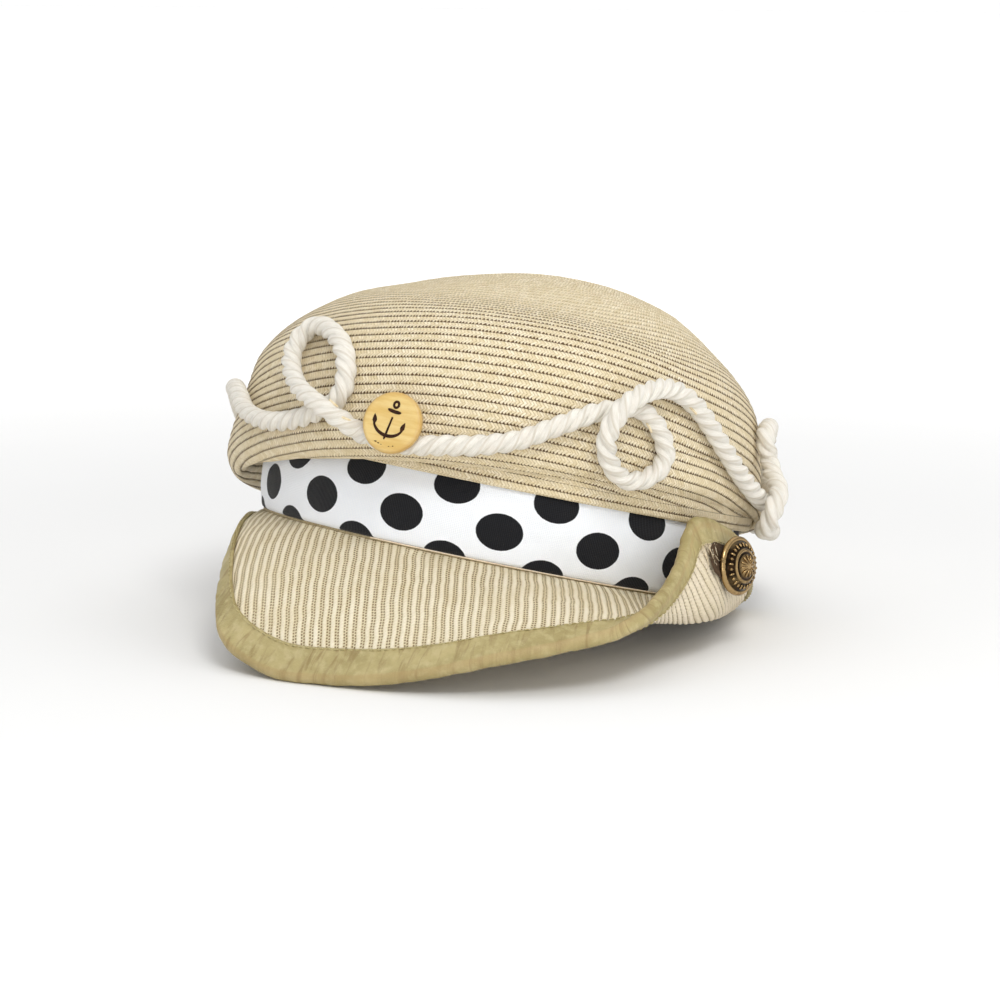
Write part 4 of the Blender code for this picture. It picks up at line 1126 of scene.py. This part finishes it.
raw = closed_spline(ctr, kn, np.linspace(0, kn[-1], 4000, endpoint=False))
cl = np.concatenate([[0], np.cumsum(np.linalg.norm(np.diff(np.vstack([raw, raw[:1]]), axis=0), axis=1))])
ROPE_LEN = cl[-1]
NR = int(ROPE_LEN / 1.1)
tt = np.linspace(0, ROPE_LEN, NR, endpoint=False)
loop = np.vstack([raw, raw[:1]])
path = np.stack([np.interp(tt, cl, loop[:, k]) for k in range(3)], -1)
tan = np.roll(path, -1, 0) - np.roll(path, 1, 0)
tan /= np.linalg.norm(tan, axis=1, keepdims=True)
ref = np.array([0.0, 0.0, 1.0]); frames_u = np.zeros_like(path)
ref = ref - tan[0] * (ref @ tan[0]); ref /= np.linalg.norm(ref)
first_ref = ref.copy()
for i in range(NR):
    ref = ref - tan[i] * (ref @ tan[i]); ref /= np.linalg.norm(ref)
    frames_u[i] = ref
endr = ref - tan[0] * (ref @ tan[0]); endr /= np.linalg.norm(endr)
miss = math.atan2(tan[0] @ np.cross(endr, first_ref), endr @ first_ref)
turns = round(ROPE_LEN / ROPE_LAY)
twist = -(np.arange(NR) / NR) * (turns * 2 * math.pi) + (np.arange(NR) / NR) * miss
frames_w = np.cross(tan, frames_u)
SIDES = 36
ra, rb = 2.24, 1.62
ang = np.linspace(0, 2 * math.pi, SIDES, endpoint=False)
lobe = (ang + math.pi / 3) % (2 * math.pi / 3) - math.pi / 3
prof = rb * np.cos(lobe) + np.sqrt(ra * ra - (rb * np.sin(lobe)) ** 2)
prof = prof * (ROPE_D / 2 / prof.max())
swell = 1.0 + 0.035 * np.sin(tt / 23.0) + 0.02 * np.sin(tt / 7.3 + 1.0)
A2 = ang[None, :] + twist[:, None]
RP = path[:, None] + (frames_u[:, None] * np.cos(A2)[..., None] + frames_w[:, None] * np.sin(A2)[..., None]) * (prof[None, :] * swell[:, None])[..., None]
q, rc = grid_quads(NR, SIDES, wrap_r=True, wrap_c=True)
uvr = np.stack([tt[rc[..., 0] % NR] + (rc[..., 0] == NR) * ROPE_LEN, rc[..., 1] / SIDES], -1)
build("rope_twisted", RP.reshape(-1, 3), q, uvr.reshape(-1, 2), ROPE_MAT, "rope_trim")

# ---------------------------------------------------------------- camera model, used to place small trim
CAM_T = np.array([-2.1, 0.0, 20.4]); CAM_D = 1300.0; CAM_F = 3328.0; ROLL = math.radians(11.3)
cam_d = np.array([0.0, -math.cos(math.radians(1.5)), math.sin(math.radians(1.5))])
cam_r = np.array([1.0, 0.0, 0.0])
cam_u = np.cross(cam_r, -cam_d)
CAM_P = CAM_T + CAM_D * cam_d


def look(xp, yp, far):
    """Point on the view ray of levelled image position (xp, yp), at that distance from the camera."""
    v = -cam_d + cam_r * ((xp + 7.84) / CAM_F) + cam_u * (-(yp + 39.2) / CAM_F)
    return CAM_P + v * far


def near_rope(xp, yp):
    """Front point of the rope nearest to a view ray."""
    v = RP.reshape(-1, 3) - CAM_P
    dep = -(v @ cam_d)
    x = CAM_F * (v @ cam_r) / dep - 7.84
    y = -39.2 - CAM_F * (v @ cam_u) / dep
    near = (x - xp) ** 2 + (y - yp) ** 2 < 9.0
    if not near.any():
        near = (x - xp) ** 2 + (y - yp) ** 2 < 60.0
    i = np.argmin(np.where(near, dep, 1e9))
    return RP.reshape(-1, 3)[i]


# small sewing stitches that hold the rope
sew = Parts()
for xp, yp, a0 in ((-190, -104, 0.5), (-176, -91, 0.2), (163, -163, 0.6), (120, -133, 0.9)):
    p = near_rope(xp, yp)
    dirv = cam_r * math.cos(a0) - cam_u * math.sin(a0)
    arc = [p + dirv * (1.9 * k) + cam_d * (0.35 - 0.9 * k * k) for k in np.linspace(-1, 1, 9)]
    sew.add(*tube(np.array(arc), 0.42, 8))
sew.make("rope_sewing", plain_thread("sewing_thread", rgb(240, 226, 196), rgb(222, 202, 160)))

# ---------------------------------------------------------------- wooden button
thw = np.radians(WOOD_AT["deg"])
wb = crown_at(thw, WOOD_AT["v"])
wn = crown_normal_at(thw, WOOD_AT["v"])
wax = wn + np.array([0, 0, math.tan(math.radians(WOOD_AT["tilt"]))])
wax /= np.linalg.norm(wax)
wc = wb + wn * WOOD_AT["lift"]
wup = np.array([0.03, 0, 1.0]) - wax * (np.array([0.03, 0, 1.0]) @ wax); wup /= np.linalg.norm(wup)
wrt = np.cross(wup, wax)


def turned(centre, axis, ux, uy, profile, sides, uvmode="plane", close_low=True, close_high=True):
    n = len(profile)
    a = np.linspace(0, 2 * math.pi, sides, endpoint=False)
    pr = np.array(profile)
    V = (centre + pr[:, None, 0:1] * (ux * np.cos(a)[None, :, None] + uy * np.sin(a)[None, :, None])
         + axis * pr[:, None, 1:2])
    q, rc = grid_quads(n, sides, wrap_c=True)
    rr0 = pr[rc[..., 0], 0]
    aa = a[rc[..., 1] % sides]
    if uvmode == "plane":
        uv = np.stack([rr0 * np.cos(aa), rr0 * np.sin(aa)], -1)
    else:
        uv = np.stack([rr0, pr[rc[..., 0], 2]], -1)
    return V.reshape(-1, 3), q, uv


R = WOOD_D / 2
wp = [(0.01, 0.0), (R - 1.4, 0.0), (R - 0.5, 0.25), (R, 1.0), (R, WOOD_T - 1.1), (R - 0.18, WOOD_T - 0.55), (R - 0.6, WOOD_T - 0.18),
      (R - 1.2, WOOD_T), (R - 3.2, WOOD_T - 0.08), (R - 7.0, WOOD_T - 0.10), (0.01, WOOD_T - 0.10)]
wv, wq, wuv = turned(wc, wax, wrt, wup, wp, 96)
pw = Parts(); pw.add(wv, wq, None, wuv)
pw.make("wood_button_disc", WOOD, "wood_button")

# burnt anchor: each stroke is a flat band on the face
anchor = Parts()
face = wc + wax * (WOOD_T - 0.05)


def on_face(x, y, h=0.12):
    return face + wrt * x + wup * y + wax * h


def stroke(points, widths):
    """Flat raised band through (x, y) points with half widths, closed underneath."""
    p = np.array(points, float)
    t = np.gradient(p, axis=0); t /= np.maximum(np.linalg.norm(t, axis=1, keepdims=True), 1e-9)
    nrm2 = np.stack([-t[:, 1], t[:, 0]], -1)
    w = np.array(widths, float)[:, None]
    l, r_ = p + nrm2 * w, p - nrm2 * w
    n = len(p)
    rows = [[on_face(*l[i], 0.0), on_face(*(l[i] * 0.85 + p[i] * 0.15), 0.12), on_face(*p[i], 0.15),
             on_face(*(r_[i] * 0.85 + p[i] * 0.15), 0.12), on_face(*r_[i], 0.0)] for i in range(n)]
    V = np.array(rows)
    q, rc = grid_quads(n, 5, wrap_c=True)
    anchor.add(V.reshape(-1, 3), q, None, np.zeros(q.shape + (2,)))


K = 1.0
ringp = [(0.25 + 0.95 * math.cos(a), 6.55 + 1.1 * math.sin(a)) for a in np.linspace(0, 2 * math.pi, 28)]
stroke(ringp, [0.48] * 28)
stroke([(x, 3.95 + 0.035 * x * x - 0.12 * x) for x in np.linspace(-2.5, 2.9, 16)], list(0.66 * np.sqrt(np.clip(1 - (np.linspace(-1, 1, 16)) ** 4, 0.04, 1))))
stroke([(0.02 - 0.13 * t, 1.9 - t) for t in np.linspace(0, 8.5, 14)], [0.34, 0.36, 0.36, 0.38, 0.38, 0.4, 0.4, 0.42, 0.42, 0.44, 0.44, 0.46, 0.42, 0.2])
arm = [(-0.8 + 5.95 * math.sin(a), -0.9 - 4.7 * math.cos(a) + 0.5 - 0.5 * math.sin(a)) for a in np.radians(np.linspace(-78, 78, 34))]
stroke(arm, list(0.30 + 0.34 * np.cos(np.linspace(-1.45, 1.45, 34))))
for sx in (-1, 1):
    bx = -0.8 + sx * 5.8
    stroke([(bx + sx * 0.35, 1.3 - 0.5 * sx), (bx + sx * 0.05, 0.2 - 0.5 * sx), (bx - sx * 0.15, -1.0 - 0.5 * sx), (bx - sx * 0.5, -2.2 - 0.5 * sx)], [0.06, 0.66, 0.92, 0.2])
for dx, dy, s0 in ((-3.9, -7.9, 0.42), (-2.7, -8.3, 0.36), (1.6, -8.7, 0.26), (3.1, -8.3, 0.3), (-1.5, -8.6, 0.2)):
    stroke([(dx - s0, dy), (dx, dy + 0.03), (dx + s0, dy)], [s0 * 0.4, s0 * 0.6, s0 * 0.4])
anchor.make("wood_button_anchor", BURNT)

# ---------------------------------------------------------------- brass button
bc = np.array([BRASS_AT["x"], BRASS_AT["y"], BRASS_AT["z"]])
ba, be = math.radians(BRASS_AT["turn"]), math.radians(BRASS_AT["raise_deg"])
bax = np.array([math.sin(ba) * math.cos(be), -math.cos(ba) * math.cos(be), math.sin(be)])
bup = np.array([0, 0, 1.0]) - bax * bax[2]; bup /= np.linalg.norm(bup)
brt = np.cross(bup, bax)
Rb = BRASS_D / 2
# radius, height, brightness (the bright end is rubbed brass and a painted highlight)
bp = [(1.9, -BRASS_AT["shank"], 0.2), (2.1, -BRASS_AT["shank"] + 0.3, 0.2), (2.0, -0.1, 0.1), (2.4, 0.05, 0.1), (Rb - 1.0, 0.1, 0.2),
      (Rb - 0.35, 0.3, 0.6), (Rb, 0.9, 0.9), (Rb - 0.05, 1.5, 1.0), (Rb - 0.45, 2.0, 1.0), (Rb - 1.0, 2.2, 0.95), (Rb - 1.5, 2.15, 0.6),
      (Rb - 1.75, 2.2, 0.1), (Rb - 2.1, 2.75, 0.05), (Rb - 3.4, 3.7, 0.1), (Rb - 4.3, 4.15, 0.2), (Rb - 4.6, 4.5, 0.6), (Rb - 4.95, 4.75, 1.0),
      (Rb - 5.35, 4.85, 0.95), (Rb - 5.7, 4.75, 0.5), (Rb - 6.0, 4.6, 0.15), (Rb - 6.6, 5.1, 0.5), (Rb - 7.6, 5.6, 0.75), (Rb - 9.0, 6.1, 0.9),
      (Rb - 10.2, 6.35, 1.0), (0.01, 6.45, 1.0)]
bv, bq, buv = turned(bc, bax, brt, bup, [(a, b, c) for a, b, c in bp], 96, uvmode="tone")
pb = Parts(); pb.add(bv, bq, None, buv)
# raised beads and short bars between the rim and the inner ring
for k in range(26):
    a = 2 * math.pi * k / 26
    rr1, rr2 = (Rb - 2.25, Rb - 3.9)
    hh1, hh2 = 2.95, 4.1
    d0 = brt * math.cos(a) + bup * math.sin(a)
    if k % 2:
        seg = [bc + d0 * (rr1 + (rr2 - rr1) * t) + bax * (hh1 + (hh2 - hh1) * t + 0.12 * math.sin(math.pi * t)) for t in np.linspace(0, 1, 6)]
        vv_, qq_, tt_, uu_ = tube(np.array(seg), [0.2, 0.4, 0.44, 0.44, 0.4, 0.2], 8)
    else:
        seg = [bc + d0 * (rr1 + (rr2 - rr1) * t) + bax * (hh1 + (hh2 - hh1) * t + 0.1) for t in (0.12, 0.22, 0.36, 0.5, 0.64, 0.78, 0.88)]
        vv_, qq_, tt_, uu_ = tube(np.array(seg), [0.1, 0.38, 0.55, 0.6, 0.55, 0.38, 0.1], 8)
    uu_[..., 0] = 8.0; uu_[..., 1] = 0.85
    pb.add(vv_, qq_, tt_, uu_)
# fluted boss in the middle
for k in range(12):
    a = 2 * math.pi * (k + 0.5) / 12
    d0 = brt * math.cos(a) + bup * math.sin(a)
    seg = [bc + d0 * (1.2 + 3.1 * t) + bax * (6.3 - 0.95 * t * t) for t in np.linspace(0, 1, 6)]
    vv_, qq_, tt_, uu_ = tube(np.array(seg), [0.12, 0.3, 0.4, 0.46, 0.4, 0.15], 8)
    uu_[..., 0] = 3.0; uu_[..., 1] = 0.8
    pb.add(vv_, qq_, tt_, uu_)
pb.make("brass_button_dome", BRASS, "brass_button")

# ---------------------------------------------------------------- frayed threads and a painted shadow patch beside the brass button
def flap_point(xp, yp, off=0.0):
    """Point of the outer face of the turned-up end that is seen at (xp, yp)."""
    v = bot.reshape(-1, 3) - CAM_P
    dep = -(v @ cam_d)
    x = CAM_F * (v @ cam_r) / dep - 7.84
    y = -39.2 - CAM_F * (v @ cam_u) / dep
    d2 = (x - xp) ** 2 + (y - yp) ** 2
    near = d2 < max(4.0, d2.min() * 1.5)
    i = np.argmin(np.where(near, dep, 1e9))
    g = -GN.reshape(-1, 3)[i]
    return bot.reshape(-1, 3)[i] + g * off, g


rng = np.random.default_rng(5)
fray = Parts()
for k in range(34):
    x0, y0 = rng.uniform(196, 209), rng.uniform(-47, -24)
    p0, g0 = flap_point(x0, y0, 0.35)
    ln = rng.uniform(4.0, 8.5)
    a0 = rng.uniform(-0.9, 1.7)
    dv = cam_r * math.cos(a0) - cam_u * math.sin(a0)
    dv = dv - g0 * (dv @ g0)
    bend = np.cross(dv, g0) * rng.uniform(-0.35, 0.35)
    seg = [p0 + dv * (ln * t) + bend * (ln * t * t) + g0 * (0.5 + rng.uniform(0.2, 1.1) * t * (1.2 - t)) for t in np.linspace(0, 1, 8)]
    rad0 = rng.uniform(0.10, 0.19)
    fray.add(*tube(np.array(seg), list(rad0 * np.array([1, 1, 1, 0.95, 0.9, 0.8, 0.65, 0.3])), 6))
fray.make("frayed_threads", PALE)

# painted shadow: a dark patch laid on the turned-up end where shade is seen between the frayed edge and the button
slit = []
outline = [(211, -42, 222, -45), (207.5, -37, 226, -41), (206, -30, 227, -32), (208, -22, 228, -24), (211.5, -15, 228, -16), (216, -9, 229, -8), (223, -3, 231, -1)]
rows_ = []
for xl, yl, xr, yr in outline:
    row_ = []
    for t in np.linspace(0, 1, 7):
        p, g = flap_point(xl + (xr - xl) * t, yl + (yr - yl) * t, 1.3)
        row_.append(p)
    rows_.append(row_)
S = np.array(rows_)
q, rc = grid_quads(len(outline), 7, flip=False)
dark = Parts()
dark.add(S.reshape(-1, 3), q, None, np.zeros(q.shape + (2,)))
dark.make("painted_gap_shadow_patch", SHADE)

# ---------------------------------------------------------------- floor, light, camera
floor_me = bpy.data.meshes.new("floor")
s = 9.0
floor_me.from_pydata([(-s, -s, 0), (s, -s, 0), (s, s, 0), (-s, s, 0)], [], [(0, 1, 2, 3)])
floor = bpy.data.objects.new("floor", floor_me)
bpy.context.scene.collection.objects.link(floor)
fm = Mat("pale_floor", rough=0.9, spec=0.1)
fn = fm.noise(3.0, 2.0, 0.5)
fm.colour(fm.mix(fm.step(fn, 0.3, 0.7), (0.90, 0.90, 0.898, 1), (0.915, 0.915, 0.913, 1)))
# the floor far from the hat glows a little: painted light from emission, so the backdrop reads white
fpos = fm.node("ShaderNodeTexCoord").outputs["Object"]
fdist = fm.node("ShaderNodeVectorMath", operation="LENGTH")
fm.t.links.new(fpos, fdist.inputs[0])
fm.put(fm.b.inputs["Emission Color"], (1.0, 1.0, 1.0, 1.0))
fm.put(fm.b.inputs["Emission Strength"], fm.step(fdist.outputs["Value"], 0.22, 1.1, 0.0, 0.36))
floor_me.materials.append(fm.m)

sc = bpy.context.scene
sc.view_settings.view_transform = "Standard"
wd = bpy.data.worlds.new("studio")
sc.world = wd
wd.use_nodes = True
wt = wd.node_tree
wtc = wt.nodes.new("ShaderNodeTexCoord")
wsep = wt.nodes.new("ShaderNodeSeparateXYZ")
wt.links.new(wtc.outputs["Generated"], wsep.inputs[0])
wmap = wt.nodes.new("ShaderNodeMapRange")
wt.links.new(wsep.outputs[2], wmap.inputs["Value"])
wmap.inputs["From Min"].default_value, wmap.inputs["From Max"].default_value = 0.07, 0.25
wmap.inputs["To Min"].default_value, wmap.inputs["To Max"].default_value = 1.03, 0.42
wt.links.new(wmap.outputs["Result"], wt.nodes["Background"].inputs[1])
wt.nodes["Background"].inputs[0].default_value = (1.0, 1.0, 1.0, 1.0)


def area(name, loc, target, size, power, tint=(1, 1, 1)):
    l = bpy.data.lights.new(name, "AREA")
    l.shape = "SQUARE"
    l.size = size
    l.energy = power
    l.color = tint
    o = bpy.data.objects.new(name, l)
    o.location = loc
    d = Vector(target) - Vector(loc)
    o.rotation_euler = d.to_track_quat("-Z", "Y").to_euler()
    sc.collection.objects.link(o)
    return o


area("key", (0.26, -0.98, 1.12), (0, 0, 0.06), 0.45, 6.2, (1.0, 1.0, 0.985))
area("front", (0.10, -1.40, 0.30), (0, 0, 0.06), 0.7, 3.3)
area("sky", (0.0, 3.2, 4.5), (0, 3.2, 0.0), 12.0, 295.0)
area("fill", (1.1, -0.9, 0.6), (0, 0, 0.05), 0.8, 1.3)

cam = bpy.data.cameras.new("camera")
cam.sensor_width = 36.0
cam.lens = 36.0 * CAM_F / 1000.0
cam.clip_start, cam.clip_end = 0.05, 30.0
co = bpy.data.objects.new("camera", cam)
right = math.cos(ROLL) * cam_r + math.sin(ROLL) * cam_u
up = -math.sin(ROLL) * cam_r + math.cos(ROLL) * cam_u
wr, wu, wbk = world_dir(right), world_dir(up), world_dir(cam_d)
M = Matrix(((wr[0], wu[0], wbk[0], 0), (wr[1], wu[1], wbk[1], 0), (wr[2], wu[2], wbk[2], 0), (0, 0, 0, 1)))
M.translation = Vector(world(CAM_P))
co.matrix_world = M
sc.collection.objects.link(co)
sc.camera = co
